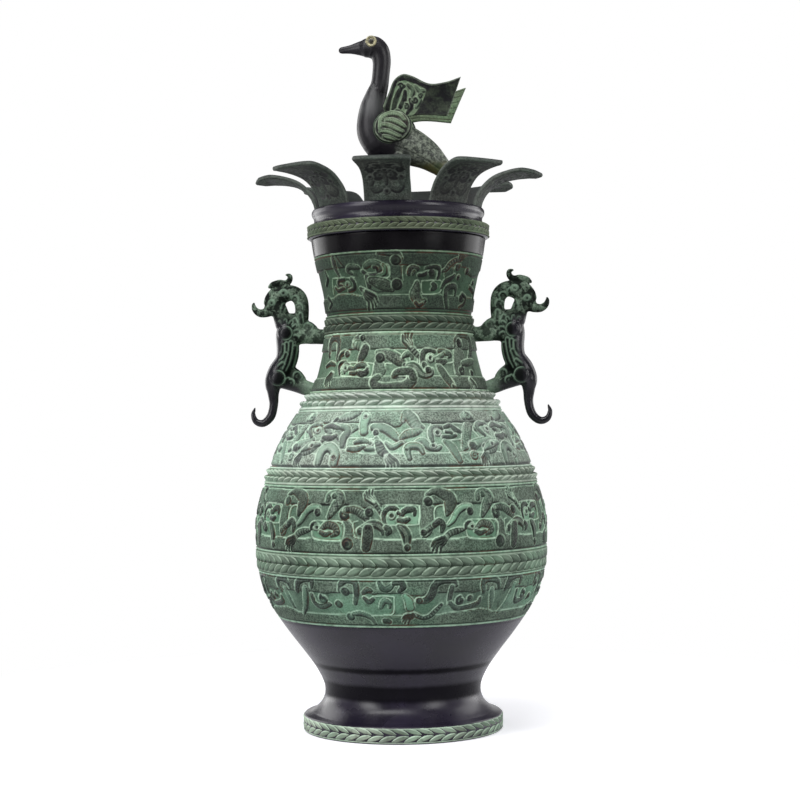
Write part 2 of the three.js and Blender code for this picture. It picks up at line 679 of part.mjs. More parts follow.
function lidOutline() {
  const lip = GROOVE_IN - GROOVE_INNER_WALL;
  return [
    V2(plugRadius(LID_Z), LID_Z),
    V2(LID_RING_RADIUS - LID_RING_ROUNDING, LID_Z),
    V2(LID_RING_RADIUS, LID_Z + LID_RING_ROUND_HEIGHT),
    V2(LID_RING_RADIUS, LID_RING_TOP - LID_RING_ROUND_HEIGHT),
    V2(LID_RING_RADIUS - LID_RING_ROUNDING, LID_RING_TOP),
    V2(LID_NECK_RADIUS, LID_RING_TOP + LID_COVE_HEIGHT),
    V2(LID_NECK_RADIUS, LID_NECK_TOP),
    V2(ROLL_RADIUS, LID_NECK_TOP + LID_ROLL_ROUND_HEIGHT),
    V2(ROLL_RADIUS, RIM_Z - LID_ROLL_ROUND_HEIGHT),
    V2(ROLL_RADIUS - LID_RIM_ROUNDING, RIM_Z),
    V2(GROOVE_OUT, RIM_Z),
    V2(GROOVE_OUT, GROOVE_Z),
    V2(GROOVE_IN, GROOVE_Z),
    V2(GROOVE_IN, RIM_Z),
    V2(lip, RIM_Z),
    V2(lip, PLATE_TOP),
  ];
}

function lidGeometry() {
  const low = LID_Z - PLUG_DEPTH;
  const outside = levelsBetween(low, LID_Z, 3).slice(0, -1).map((z) => V2(plugRadius(z), z));
  const inside = [
    V2(plugRadius(MOUTH_Z) - PLUG_WALL, PLATE_BOTTOM),
    V2(plugRadius(low) - PLUG_WALL, low),
  ];
  const shell = turned([V2(0, PLATE_BOTTOM), ...inside, ...outside, ...lidOutline(), V2(0, PLATE_TOP)]);
  return geometryOf(solidOf(shell).subtract(joined(legPlaces().map(tenonHole))));
}

// Petals, drawn pointing along +X: up out of the groove, then outwards to a drooping tip

function petalLine() {
  const r = PETAL_SEAT_RADIUS;
  const top = RIM_Z + PETAL_RISE;
  return new THREE.CatmullRomCurve3([
    V3(r, 0, RIM_Z - PETAL_TENON),
    V3(r, 0, RIM_Z),
    V3(r + PETAL_REACH * 0.03, 0, RIM_Z + PETAL_RISE * 0.25),
    V3(r + PETAL_REACH * 0.115, 0, RIM_Z + PETAL_RISE * 0.52),
    V3(r + PETAL_REACH * 0.27, 0, RIM_Z + PETAL_RISE * 0.78),
    V3(r + PETAL_REACH * 0.48, 0, top - PETAL_RISE * 0.07),
    V3(r + PETAL_REACH * 0.74, 0, top),
    V3(r + PETAL_REACH, 0, top - PETAL_DROOP),
  ], false, "centripetal");
}

function petalWidth(s) {
  const spread = THREE.MathUtils.smoothstep(s, 0.3, 0.93);
  return PETAL_WAIST_WIDTH + (PETAL_TIP_WIDTH - PETAL_WAIST_WIDTH) * spread;
}

function petalGeometry() {
  const line = petalLine();
  const peakShare = PETAL_PEAK / line.getLength();
  const middle = (s, t) => {
    const across = 2 * t - 1;
    const held = Math.min(Math.max(s, 0), 1);
    const end = 1 - peakShare * Math.min(Math.abs(across), 1) * THREE.MathUtils.smoothstep(held, 0.5, 1);
    const at = line.getPointAt(held * end);
    const past = (s - held) * line.getLength();
    const along = line.getTangentAt(held * end);
    at.addScaledVector(along, past);
    const bend = THREE.MathUtils.lerp(PETAL_SEAT_RADIUS, 2 * PETAL_SEAT_RADIUS, held);
    const turn = (across * petalWidth(held)) / 2 / bend;
    return V3(at.x - bend * (1 - Math.cos(turn)), bend * Math.sin(turn), at.z);
  };
  return plate(middle, 9, 4, PETAL_THICKNESS);
}

// Crane. Its points are measured from the middle of its back over the legs.

const BACK_Z = PLATE_TOP + BODY_HEIGHT;

function craneLine(points) {
  return points.map(([x, z, r]) => [x + CRANE_FORWARD, BACK_Z + z, r]);
}

const craneLimbs = () => ({
  neck: craneLine([[-23.5, 62.4, 4.2], [-17.8, 63.2, 6.1], [-12.6, 59.4, 5.8], [-11.6, 52.6, 5.3],
    [-12.1, 44.8, 5], [-13.3, 36.8, 5.1], [-15.9, 29.8, 6.3], [-17.8, 22, 8.6], [-18, 13.2, 10.2],
    [-17.4, 5.6, 10]]),
  body: craneLine([[-18, 6.4, 8.6], [-11.6, 3.2, 12.2], [-4, 0.2, 13], [6, -3.8, 12.3],
    [16.6, -9.4, 9.8], [24.4, -15.8, 7.2], [28.6, -19.8, 6]]),
  beak: craneLine([[-40.4, 59.8, 0.8], [-31, 61.2, 2], [-24.6, 62.2, 3.6], [-19, 62.8, 5]]),
});

function craneBody(grow = 0) {
  const { neck, body, beak } = craneLimbs();
  return joined([
    solidOf(limb(neck, { steps: 18, sides: 12, grow })),
    solidOf(limb(body, { steps: 9, sides: 12, slender: 0.95, grow })),
    solidOf(limb(beak, { steps: 4, sides: 10, slender: 0.8, grow })),
  ]);
}

function eyePlaces() {
  const [x, z, r] = craneLimbs().neck[1];
  return { x: x + 0.2, z: z + 1.2, face: r };
}

function eyeGeometry(side, clearance) {
  const { x, z, face } = eyePlaces();
  const radius = EYE_RADIUS + clearance;
  const disc = new THREE.CylinderGeometry(radius, radius, EYE_DEPTH + 2 * clearance, 16);
  const middle = face + 0.3 - EYE_DEPTH / 2;
  return disc.translate(x, 0, 0).translate(0, side * middle, z);
}

function legPlaces() {
  return [-1, 1].map((side) => ({ x: CRANE_FORWARD, y: (side * LEG_SPREAD) / 2 }));
}

function tenonHole({ x, y }) {
  const r = LEG_TENON_RADIUS + PIN_CLEARANCE;
  const length = LID_PLATE_THICKNESS * 3;
  const hole = new THREE.CylinderGeometry(r, r, length, 12).rotateX(Math.PI / 2);
  return solidOf(hole.translate(x, y, (PLATE_TOP + PLATE_BOTTOM) / 2));
}

function toe(angle, { x, y }) {
  const z = PLATE_TOP + SEAT_GAP + TOE_RADIUS;
  const ahead = limb([[0, z + 1, TOE_RADIUS], [TOE_LENGTH * 0.5, z + 0.2, TOE_RADIUS],
    [TOE_LENGTH, z - TOE_RADIUS * 0.45, TOE_RADIUS * 0.5]], { steps: 2, sides: 5 });
  return solidOf(ahead.rotateZ(angle).translate(x, y, 0));
}

function legGeometry(place) {
  const { x, y } = place;
  const foot = PLATE_TOP + SEAT_GAP + TOE_RADIUS;
  const top = BACK_Z - LEG_TOP;
  const shin = limb([[x, foot, LEG_RADIUS * 1.1], [x + 1.4, foot + (top - foot) * 0.3, LEG_RADIUS * 0.9],
    [x + 2.4, foot + (top - foot) * 0.62, LEG_RADIUS * 1.25], [x, top, LEG_RADIUS * 1.8]],
  { steps: 6, sides: 8, offset: y });
  const tenonLength = TOE_RADIUS + SEAT_GAP * 2 + LID_PLATE_THICKNESS + WASHER_THICKNESS;
  const tenon = new THREE.CylinderGeometry(LEG_TENON_RADIUS, LEG_TENON_RADIUS, tenonLength, 8);
  tenon.rotateX(Math.PI / 2).translate(x, y, foot - tenonLength / 2);
  const toes = TOE_ANGLES.map((angle) => toe(angle, place));
  const whole = joined([solidOf(shin), solidOf(tenon), ...toes]);
  return geometryOf(whole.subtract(craneBody(SOLDER_GAP)));
}

function washerGeometry() {
  const inside = LEG_TENON_RADIUS + PIN_CLEARANCE;
  return turned([
    V2(inside, 0),
    V2(WASHER_RADIUS, 0),
    V2(WASHER_RADIUS, WASHER_THICKNESS),
    V2(inside, WASHER_THICKNESS),
    V2(inside, 0),
  ], RIVET_SIDES);
}

// A wing is a curved plate that rises from a swollen shoulder pad on the body's side

function wingEdges() {
  const curve = (points) => new THREE.CatmullRomCurve3(
    points.map(([x, z]) => V3(x + CRANE_FORWARD, 0, BACK_Z + z)), false, "centripetal");
  return {
    top: curve([[-8.9, 19.8], [-5, 29], [-1.9, 36.4], [3.6, 40.4], [10, 38.8], [21, 33.4], [32, 34],
      [41.8, 36.8]]),
    bottom: curve([[-7, 10], [4, 13], [12.4, 14.4], [20, 14.2], [27, 13.4], [32, 12.8]]),
  };
}

function wingGeometry(side) {
  const { top, bottom } = wingEdges();
  const middle = (s, t) => {
    const u = Math.min(Math.max(s, 0), 1);
    const at = top.getPointAt(u).lerp(bottom.getPointAt(u), t);
    at.x += s - u;
    const upward = Math.pow(Math.max(1 - t, 0), 1.5);
    const out = WING_ROOT_OUT + WING_LEAN * (0.6 * upward + 0.4 * u);
    return V3(at.x, side * out, at.z);
  };
  const blade = solidOf(plate(middle, 10, 3, WING_THICKNESS));
  const pad = new THREE.SphereGeometry(1, 12, 7).scale(PAD_LENGTH, PAD_BULGE, PAD_HEIGHT);
  pad.rotateY(-PAD_TILT).translate(CRANE_FORWARD - 3.6, side * PAD_OUT, BACK_Z + 7.6);
  return geometryOf(blade.add(solidOf(pad)).subtract(craneBody(SOLDER_GAP)));
}

// Finishes

function bronze(color, roughness) {
  return new THREE.MeshStandardMaterial({ color, roughness, metalness: 0.6 });
}

const PATINA = bronze(0x66806f, 0.75);
const DARK_PATINA = bronze(0x3f4f47, 0.6);
const BLACK_BRONZE = bronze(0x26262a, 0.4);
const BEAST_BRONZE = bronze(0x46604f, 0.6);
const PINNED_BRONZE = bronze(0x8a7340, 0.5);
const EYE_GILT = bronze(0xa89a62, 0.45);

function named(name, geometry, material) {
  const mesh = new THREE.Mesh(geometry, material);
  mesh.name = name;
  return mesh;
}

function handleGroup(name, angle) {
  const group = new THREE.Group();
  group.rotation.z = angle;
  group.add(named(`${name}_handle`, handleGeometry(), BEAST_BRONZE));
  for (const [level, z] of [["upper", UPPER_STRUT_HEIGHT], ["lower", LOWER_STRUT_HEIGHT]]) {
    const rivet = named(`${name}_${level}_handle_rivet`, rivetGeometry(), PINNED_BRONZE);
    const { position, turn } = rivetPlace(z);
    rivet.position.copy(position);
    rivet.rotation.y = turn;
    group.add(rivet);
  }
  return group;
}

function petalRing() {
  const ring = new THREE.Group();
  const geometry = petalGeometry();
  for (let k = 0; k < PETAL_COUNT; k++) {
    const petal = named(`petal_${k + 1}`, geometry, DARK_PATINA);
    petal.rotation.z = -Math.PI / 2 + (k * 2 * Math.PI) / PETAL_COUNT;
    ring.add(petal);
  }
  return ring;
}

function crane() {
  const group = new THREE.Group();
  const sockets = joined([-1, 1].map((side) => solidOf(eyeGeometry(side, PIN_CLEARANCE))));
  group.add(named("crane_body", geometryOf(craneBody().subtract(sockets)), BLACK_BRONZE));
  const [rightLeg, leftLeg] = legPlaces();
  for (const [name, side, place] of [["left", 1, leftLeg], ["right", -1, rightLeg]]) {
    group.add(named(`crane_${name}_wing`, wingGeometry(side), DARK_PATINA));
    group.add(named(`crane_${name}_eye`, eyeGeometry(side, 0), EYE_GILT));
    group.add(named(`crane_${name}_leg`, legGeometry(place), BLACK_BRONZE));
    const washer = named(`crane_${name}_leg_washer`, washerGeometry(), PINNED_BRONZE);
    washer.position.set(place.x, place.y, PLATE_BOTTOM - SEAT_GAP - WASHER_THICKNESS);
    group.add(washer);
  }
  return group;
}

const vase = new THREE.Group();
vase.add(named("vessel_body", vesselGeometry(), PATINA));
vase.add(handleGroup("right", 0));
vase.add(handleGroup("left", Math.PI));
vase.add(named("lid_body", lidGeometry(), BLACK_BRONZE));
vase.add(petalRing());
vase.add(crane());

export default vase;
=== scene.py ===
"""Looks of the bronze wine vessel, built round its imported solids.

Metres in Blender; sizes below are in millimetres unless a name says otherwise.
The vessel's bands are height fields carved by the Relief class, the rope borders are
leaves set round a ring by a node tree, and the beasts and the crane are limbs melted
into one skin and then engraved.
"""
import math

import bpy
import numpy as np
from mathutils import Matrix, Vector


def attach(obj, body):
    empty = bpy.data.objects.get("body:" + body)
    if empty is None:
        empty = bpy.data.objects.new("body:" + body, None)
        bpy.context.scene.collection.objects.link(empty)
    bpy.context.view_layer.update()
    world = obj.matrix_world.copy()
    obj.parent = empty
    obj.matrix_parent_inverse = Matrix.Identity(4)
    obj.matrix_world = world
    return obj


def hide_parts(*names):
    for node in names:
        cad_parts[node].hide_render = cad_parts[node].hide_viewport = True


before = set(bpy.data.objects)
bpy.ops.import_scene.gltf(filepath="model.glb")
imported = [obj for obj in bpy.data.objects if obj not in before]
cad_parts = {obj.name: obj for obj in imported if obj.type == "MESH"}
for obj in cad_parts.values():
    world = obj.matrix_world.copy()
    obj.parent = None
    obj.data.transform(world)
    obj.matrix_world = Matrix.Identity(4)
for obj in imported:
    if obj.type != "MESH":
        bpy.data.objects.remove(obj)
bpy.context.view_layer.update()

MM = 0.001
FRONT = math.radians(-83)        # the side of the vessel that faces the camera
ROUND = 240                      # faces round a turned piece

# Heights of the bands and borders of the vessel
LOW_BAND_Z, LOW_ROPE_Z, BELLY_BAND_Z = 73.4, 104.0, 117.4
MIDDLE_ROPE_Z, SHOULDER_BAND_Z, UPPER_ROPE_Z = 159.3, 169.0, 206.0
NECK_BAND_Z, TOP_ROPE_Z, TOP_BAND_Z, MOUTH_BAND_Z = 217.0, 254.5, 265.0, 304.5
ROPES = [(LOW_ROPE_Z, BELLY_BAND_Z), (MIDDLE_ROPE_Z, SHOULDER_BAND_Z),
         (UPPER_ROPE_Z, NECK_BAND_Z), (TOP_ROPE_Z, TOP_BAND_Z)]
LIP_Z = 315.2                    # where the outer wall ends under the mouth's lip
WALL = 3.0
BAND_SINK = 1.5                  # how far the shell lies back behind a band


# Carving

BLEND = 0.00032                  # metres over which a carved edge turns
FIELDS = ("dark", "grain", "crest", "hollow")


def smooth(x):
    x = np.clip(x, 0, 1)
    return x * x * (3 - 2 * x)


def cover(depth):
    """1 inside a shape and 0 outside it, with a soft step at its edge."""
    return smooth((depth + BLEND) / (2 * BLEND))


def lengths(line):
    """The way along a line at each of its points."""
    return np.append(0, np.cumsum(np.linalg.norm(np.diff(line, axis=0), axis=1)))


def through(points, per_span=8):
    """A smooth line through given points; extra columns, such as widths, are smoothed too."""
    p = np.array(points, float)
    if len(p) < 3:
        t = np.linspace(0, 1, per_span + 1)[:, None]
        return p[0] + (p[-1] - p[0]) * t
    padded = np.vstack([2 * p[0] - p[1], p, 2 * p[-1] - p[-2]])
    t = (np.arange(per_span) / per_span)[:, None]
    out = [0.5 * (2 * b + (c - a) * t + (2 * a - 5 * b + 4 * c - d) * t ** 2 + (3 * b - a - 3 * c + d) * t ** 3)
           for a, b, c, d in zip(padded, padded[1:], padded[2:], padded[3:])]
    return np.vstack(out + [p[-1:]])


class Relief:
    """A carved sheet: height in mm over x and y, and how dark, how grainy and how pale-edged, by wear and painted
    highlight, each cell is.

    Shapes are laid on in order. A shape first cuts a narrow gap round itself, so that it
    stands free of what lies under it. Under the shape the gap is darkened as a painted shadow,
    a fine pale line runs along it on the shape's upper side as a painted highlight,
    and the shape's lower edge is darkened as painted shade.
    """

    def __init__(self, width, height, cell=0.5, wraps=True, left=0.0, low=0.0):
        self.width, self.height, self.wraps = width * MM, height * MM, wraps
        self.nx = max(4, round(width / cell))
        self.ny = max(4, round(height / cell)) + 1
        last = self.width * (1 - 1 / self.nx) if wraps else self.width
        self.left, self.low = (-width / 2 if wraps else left) * MM, low * MM
        self.x, self.y = np.meshgrid(np.linspace(0, last, self.nx) + self.left,
                                     np.linspace(0, self.height, self.ny) + self.low)
        self.h, self.dark, self.edge = (np.zeros_like(self.x) for _ in range(3))
        self.grain = np.full_like(self.x, 0.6)
        self.ribbons = None

    def offset(self, x0, y0):
        dx = self.x - x0
        if self.wraps:
            dx = (dx + self.width / 2) % self.width - self.width / 2
        return dx, self.y - y0

    def along(self, points):
        """Depth inside a stroke, the way along it and the way across it, at every cell."""
        line = through(np.array(points, float) * MM, 6)
        x0, y0 = line[:, 0].mean(), line[:, 1].mean()
        px, py = self.offset(x0, y0)
        depth = np.full_like(self.x, -1.0)
        way, side = np.zeros_like(self.x), np.zeros_like(self.x)
        run = 0.0
        for a, b in zip(line - (x0, y0, 0), line[1:] - (x0, y0, 0)):
            reach = max(a[2], b[2]) + 0.003
            near = (px > min(a[0], b[0]) - reach) & (px < max(a[0], b[0]) + reach)
            near &= (py > min(a[1], b[1]) - reach) & (py < max(a[1], b[1]) + reach)
            length = math.hypot(b[0] - a[0], b[1] - a[1])
            if length == 0 or not near.any():
                continue
            dx, dy = (b[0] - a[0]) / length, (b[1] - a[1]) / length
            qx, qy = px[near] - a[0], py[near] - a[1]
            t = np.clip((qx * dx + qy * dy) / length, 0, 1)
            d = a[2] + (b[2] - a[2]) * t - np.hypot(qx - t * length * dx, qy - t * length * dy)
            better = d > depth[near]
            for store, value in ((depth, d), (way, run + t * length), (side, qx * dy - qy * dx)):
                store[near] = np.where(better, value, store[near])
            run += length
        return depth, way, side

    def inside(self, points):
        """Depth inside a closed outline with its corners cut round."""
        p = np.array(points, float) * MM
        q = np.roll(p, -1, axis=0)
        p = np.stack([0.75 * p + 0.25 * q, 0.25 * p + 0.75 * q], axis=1).reshape(-1, 2)
        middle = p.mean(axis=0)
        px, py = self.offset(*middle)
        dist = np.full_like(self.x, 1.0)
        odd = np.zeros_like(self.x, dtype=bool)
        for (ax, ay), (bx, by) in zip(p - middle, np.roll(p, -1, axis=0) - middle):
            dx, dy = bx - ax, by - ay
            t = np.clip(((px - ax) * dx + (py - ay) * dy) / (dx * dx + dy * dy), 0, 1)
            dist = np.minimum(dist, np.hypot(px - ax - t * dx, py - ay - t * dy))
            with np.errstate(divide="ignore", invalid="ignore"):
                odd ^= ((ay > py) != (by > py)) & (px < ax + (py - ay) * dx / dy)
        return np.where(odd, dist, -dist)

    def lit_side(self, depth):
        """1 where a shape's edge looks up, 0 where it looks down: it places painted shade on the undersides and a
        painted highlight on the upper edges.
        """
        up = np.gradient(depth, self.height / (self.ny - 1), axis=0)
        right = np.gradient(depth, self.width / self.nx, axis=1)
        return np.clip(0.5 - 0.5 * (0.95 * up - 0.35 * right), 0, 1)

    def lay(self, body, h, dark=None, grain=None, edge=None):
        """Turns the fields to new values where body is 1."""
        for name, value in (("h", h), ("dark", dark), ("grain", grain), ("edge", edge)):
            if value is not None:
                field = getattr(self, name)
                field += (value - field) * body

    # Pale edge: wear, and where paint() lays the line along a shape's upper side, a painted highlight
    def wear_and_highlight(self, share):
        self.edge = np.maximum(self.edge, share)

    def paint(self, depth, level, dark=0.0, grain=0.0, floor=0.0, gap=0.8, dome=0.0, line=0.9):
        """Carve a gap round a shape, with a painted shadow under it and a painted highlight along its upper edge,
        then lay the shape in at its level (mm).
        """
        self.lay_ribbons()
        lit_side = self.lit_side(depth)
        if gap:
            ring = cover(depth + gap * MM)
            self.lay(ring, np.minimum(self.h, floor), 0, 0, 0)
            # Painted shadow: the gap is darkened on the shape's lower side
            self.dark = np.maximum(self.dark, ring * 0.95 * smooth(1.3 - 2.4 * lit_side))
            # Painted highlight: a pale line along the gap, kept to the shape's upper side
            fine = line * smooth(lit_side * 1.5) * smooth(1.25 - np.abs(depth / MM + gap) / 0.48)
            self.wear_and_highlight(fine)
            self.h = np.maximum(self.h, floor + (0.5 - floor) * fine)
            # Painted shade: the shape's own colour darkens towards its lower edge
            dark = dark + (0.9 - dark) * 0.6 * (1 - lit_side) * np.exp(-np.maximum(depth, 0) / (0.9 * MM))
        body = cover(depth)
        if dome:
            level = level - (level - floor) * 0.6 * (1 - np.clip(depth / (dome * MM), 0, 1)) ** 2
        self.lay(body, level, dark, grain, 0)
        return body

    def stroke(self, points, dark=0.0, grain=0.0, level=0.9, dome=1.2, **finish):
        depth, way, side = self.along(points)
        return self.paint(depth, level, dark, grain, dome=dome, **finish), way, side

    def ribbed(self, body, wave, low, cut, rubbed):
        """Cuts and rubs a shape where a wave stands above its low mark."""
        self.h -= body * cut * smooth((wave - low) / (1 - low))
        self.wear_and_highlight(body * rubbed * smooth((wave - 0.6) / 0.4))

    def striped(self, points, dark=0.0, pitch=1.6, cut=0.45, **finish):
        body, way, _ = self.stroke(points, dark, **finish)
        self.ribbed(body, 0.5 + 0.5 * np.cos(2 * math.pi * way / (pitch * MM)), 0.55, cut, 0.5)

    def scaled(self, points, dark=0.0, pitch=2.2, cut=0.4, rubbed=0.45, **finish):
        body, way, side = self.stroke(points, dark, **finish)
        turns = 2 * math.pi / (pitch * MM)
        net = np.maximum(np.cos(turns * (way + 0.9 * side)), np.cos(turns * (way - 0.9 * side)))
        self.ribbed(body, net, 0.6, cut, rubbed)

    def lined(self, points, dark, lines=(0,)):
        """A stroke with lines cut along it; lines are shares of the half width."""
        body, _, side = self.stroke(points, dark)
        half = np.mean([p[2] for p in points]) * MM
        for share in lines:
            near = smooth(1 - np.abs(side - share * half) / (0.35 * MM))
            self.h -= body * 0.4 * near
            self.wear_and_highlight(body * 0.6 * near)

    def limb(self, points, dark=0.0, grain=0.0, level=0.95):
        """A rounded limb; a stout one has faint scales."""
        finish = dict(dark=dark, grain=grain, level=level, gap=0.55, floor=-0.1)
        if max(p[2] for p in points) < 1.25:
            self.stroke(points, **finish)
        else:
            self.scaled(points, pitch=2.0, cut=0.2, rubbed=0.14, **finish)

    def ribbon(self, depth):
        self.ribbons = depth if self.ribbons is None else np.maximum(self.ribbons, depth)

    def bar(self, points):
        """A stretch of the flat, grainy ribbon that runs between the beasts."""
        self.ribbon(self.inside(points))

    def strap(self, low, high):
        """A ribbon that runs all the way round between two heights (mm)."""
        self.ribbon(np.minimum(self.y - low * MM, high * MM - self.y))

    def lay_ribbons(self):
        """Lays in all ribbons so far as one shape."""
        depth, self.ribbons = self.ribbons, None
        if depth is not None:
            self.paint(depth, 0.6, grain=1.0, floor=-0.1, gap=0.45, dome=0.5, line=0.8)

    def rim(self, points, closed=True):
        """A fine raised line, round a sunk field where it is closed."""
        if closed:
            self.paint(self.inside(points), -0.15, gap=0)
        line = [(x, y, 0.38) for x, y in points]
        body = cover(self.along(line + line[:1] if closed else line)[0])
        self.lay(body, np.maximum(self.h, 0.6), grain=0)
        self.wear_and_highlight(body)

    def ball(self, x, y, r):
        """A round boss with a ring cut into it."""
        dx, dy = self.offset(x * MM, y * MM)
        dist = np.hypot(dx, dy) / MM
        self.paint((r - dist) * MM, 1.0, 1.0, floor=-0.2, gap=0.5, dome=r * 0.8)
        ring = smooth(1 - np.abs(dist - 0.55 * r) / 0.42)
        self.h -= 0.4 * ring
        self.wear_and_highlight(0.3 * ring * smooth(dx / (r * MM) + 0.5))

    def pit(self, x, y, r, rim=0.0, level=-0.5, dark=1.0):
        dx, dy = self.offset(x * MM, y * MM)
        depth = r * MM - np.hypot(dx, dy)
        if rim:
            self.paint(depth + rim * MM, 0.75, 0.2, gap=0.5, dome=0.6)
            self.wear_and_highlight(0.8 * smooth(depth / MM + rim + 0.5))
        self.paint(depth, level, dark, gap=0)

    def curl(self, x, y, r, start, turns=1.0, hand=1, dark=0.8, thick=0.34, level=0.9, gap=0.55):
        """A hook that winds in to a ball. start is the angle of its outer end, in degrees."""
        points = []
        for t in np.linspace(0, 1, max(6, int(10 * turns)) + 1):
            angle = math.radians(start) + hand * t * turns * 2 * math.pi
            radius = r * (1 - 0.74 * t)
            points.append((x + radius * math.cos(angle), y + radius * math.sin(angle), r * thick * (0.75 + 0.35 * t)))
        self.stroke(points, dark, level=level, gap=gap, dome=1.0)

    def line(self, points, cut=-0.45, half=0.32, dark=0.5):
        body = cover(self.along([(x, y, half) for x, y in points])[0])
        self.lay(body, np.minimum(self.h, cut))
        self.dark = np.maximum(self.dark, dark * body)

    def claw(self, x, y, toward, size=1.0, hand=1, arm=()):
        """Four curved fingers that fan out from a wrist; arm is a line of points back from it."""
        if arm:
            self.striped([(x, y, 1.3 * size), *arm], 0.85, 2.0, level=0.85, gap=0.6)
        ux, uy = math.cos(math.radians(toward)), math.sin(math.radians(toward))
        vx, vy = -uy * hand, ux * hand
        for k, reach in enumerate((0.86, 1.0, 1.02, 0.9)):
            s = (k - 1.5) * 1.75 * size
            points = [(x + vx * s * 0.35, y + vy * s * 0.35, 0.62 * size)]
            for t, swing in ((0.3, 1.15), (0.62, 1.5), (1.0, 1.0)):
                out = 9.0 * size * reach * t
                over = s * (0.45 + 0.75 * t) + size * 2.2 * (swing - 1.0) - size * t * t
                points.append((x + ux * out + vx * over, y + uy * out + vy * over, size * (0.72 - 0.28 * t)))
            self.stroke(points, 0.85, level=1.0, gap=0.4, dome=0.8)

    def borders(self):
        """The fine ridges and grooves that edge a band."""
        top = self.height / MM
        for inset, half, values in ((0.6, 0.55, (0.6, 0, 0, 0.7)), (1.7, 0.3, (-0.3, 0.5))):
            for y in (top - inset, inset):
                self.lay(cover(half * MM - np.abs(self.y - y * MM)), *values)

    def finish(self):
        """Share of pale edge, part wear and part painted highlight, and of hollow at every cell; both follow the
        height's blur too.
        """
        self.lay_ribbons()
        wear_and_highlight = np.clip((self.h - self.blurred(1) - 0.06) * 5, 0, 0.4) * (1 - self.dark)
        # The patina finishes darken hollow cells as painted shade
        hollow = np.clip((self.blurred(3) - self.h - 0.05) * 5, 0, 1) * (1 - self.edge)
        return np.maximum(self.edge, wear_and_highlight), hollow

    def blurred(self, rounds):
        field = self.h
        for _ in range(rounds):
            wrap = np.pad(field, 1, mode="edge")
            if self.wraps:
                wrap[1:-1, 0], wrap[1:-1, -1] = field[:, -1], field[:, 0]
            field = (wrap[:-2, 1:-1] + wrap[2:, 1:-1] + wrap[1:-1, :-2] + wrap[1:-1, 2:]
                     + 2 * wrap[1:-1, 1:-1]) / 6
        return field

    def sample(self, x, y):
        """Height, darkness, grain, crest and hollow at points (metres), by the nearest cells."""
        fx = np.clip((x - self.left) / self.width * (self.nx - 1), 0, self.nx - 1.001)
        fy = np.clip((y - self.low) / self.height * (self.ny - 1), 0, self.ny - 1.001)
        i, j = fx.astype(int), fy.astype(int)
        u, v = fx - i, fy - j
        crest, hollow = self.finish()
        return [(f[j, i] * (1 - u) + f[j, i + 1] * u) * (1 - v) + (f[j + 1, i] * (1 - u) + f[j + 1, i + 1] * u) * v
                for f in (self.h, self.dark, self.grain, crest, hollow)]


# Meshes

RELIEF_RISE = 1.5                # how high the bands' relief stands, times its drawn height
PROUD_SHARE = 0.65               # what stands out past the wall's own radius rises less
SLEEVE_BACK = -2.4               # where a band's back lies, behind its carved front


def new_object(name, verts, faces):
    mesh = bpy.data.meshes.new(name)
    mesh.from_pydata(np.asarray(verts).tolist(), [], faces if isinstance(faces, list) else faces.tolist())
    obj = bpy.data.objects.new(name, mesh)
    bpy.context.scene.collection.objects.link(obj)
    return obj


def write_fields(mesh, fields):
    for field in FIELDS:
        made = mesh.attributes.new(field, "FLOAT", "POINT")
        values = fields.get(field, np.zeros(len(mesh.vertices)))
        made.data.foreach_set("value", np.asarray(values, np.float32))


def dress(obj, body, material, stands_for=()):
    mesh = obj.data
    mesh.validate()
    mesh.polygons.foreach_set("use_smooth", [True] * len(mesh.polygons))
    mesh.materials.clear()
    mesh.materials.append(material)
    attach(obj, body)
    if stands_for:
        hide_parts(*stands_for)


def piece(name, verts, faces, body, slot, material, stands_for=(), fields={}):
    """A finished piece: its mesh, its fields, its finish, and the body it rides on."""
    obj = new_object(name, verts, faces)
    write_fields(obj.data, fields)
    dress(obj, body, material, stands_for)


def round_angles(count):
    return np.arange(count) * 2 * math.pi / count


def grid_faces(rows, columns, wraps=True):
    """Quads between rows of points; points run along a row first."""
    i = np.arange(rows - 1)[:, None] * columns
    j = np.arange(columns if wraps else columns - 1)[None, :]
    a, b = i + j, i + (j + 1) % columns
    return np.stack([a, b, b + columns, a + columns], axis=-1).reshape(-1, 4)


def ring_faces(rows, columns):
    """Quads of a closed ring: its last row joins its first."""
    return grid_faces(rows + 1, columns) % (rows * columns)


def tipped_faces(rows, columns):
    """Faces of a tube whose ends close on two points that come after its rows."""
    faces = grid_faces(rows, columns).tolist()
    low, top = rows * columns, (rows - 1) * columns
    for j in range(columns):
        k = (j + 1) % columns
        faces += [[low, k, j], [low + 1, top + j, top + k]]
    return faces


def lidded_faces(rows, columns):
    """Faces of a tube with a flat face over each end."""
    last = (rows - 1) * columns
    return grid_faces(rows, columns).tolist() + [list(range(columns))[::-1], list(range(last, last + columns))]


def grid_rim(rows, columns):
    """Indices of a grid's edge points, once round."""
    return np.concatenate([np.arange(columns), np.arange(1, rows) * columns + columns - 1,
                           (rows - 1) * columns + np.arange(columns - 2, -1, -1),
                           np.arange(rows - 2, 0, -1) * columns])


def ring_points(profile, count=ROUND):
    """Points of a turned surface, row by row; profile is (radius, height) in mm."""
    p = np.asarray(profile, float) * MM
    angles = round_angles(count)
    return np.stack([p[:, :1] * np.cos(angles), p[:, :1] * np.sin(angles),
                     np.repeat(p[:, 1:2], count, axis=1)], axis=-1).reshape(-1, 3)


def turned(profile, count=ROUND):
    """A closed turned solid: the profile runs from the axis below, round the outside, to the axis above."""
    inner = profile[1:-1]
    tips = [[0, 0, profile[0][1] * MM], [0, 0, profile[-1][1] * MM]]
    return np.vstack([ring_points(inner, count), tips]), tipped_faces(len(inner), count)


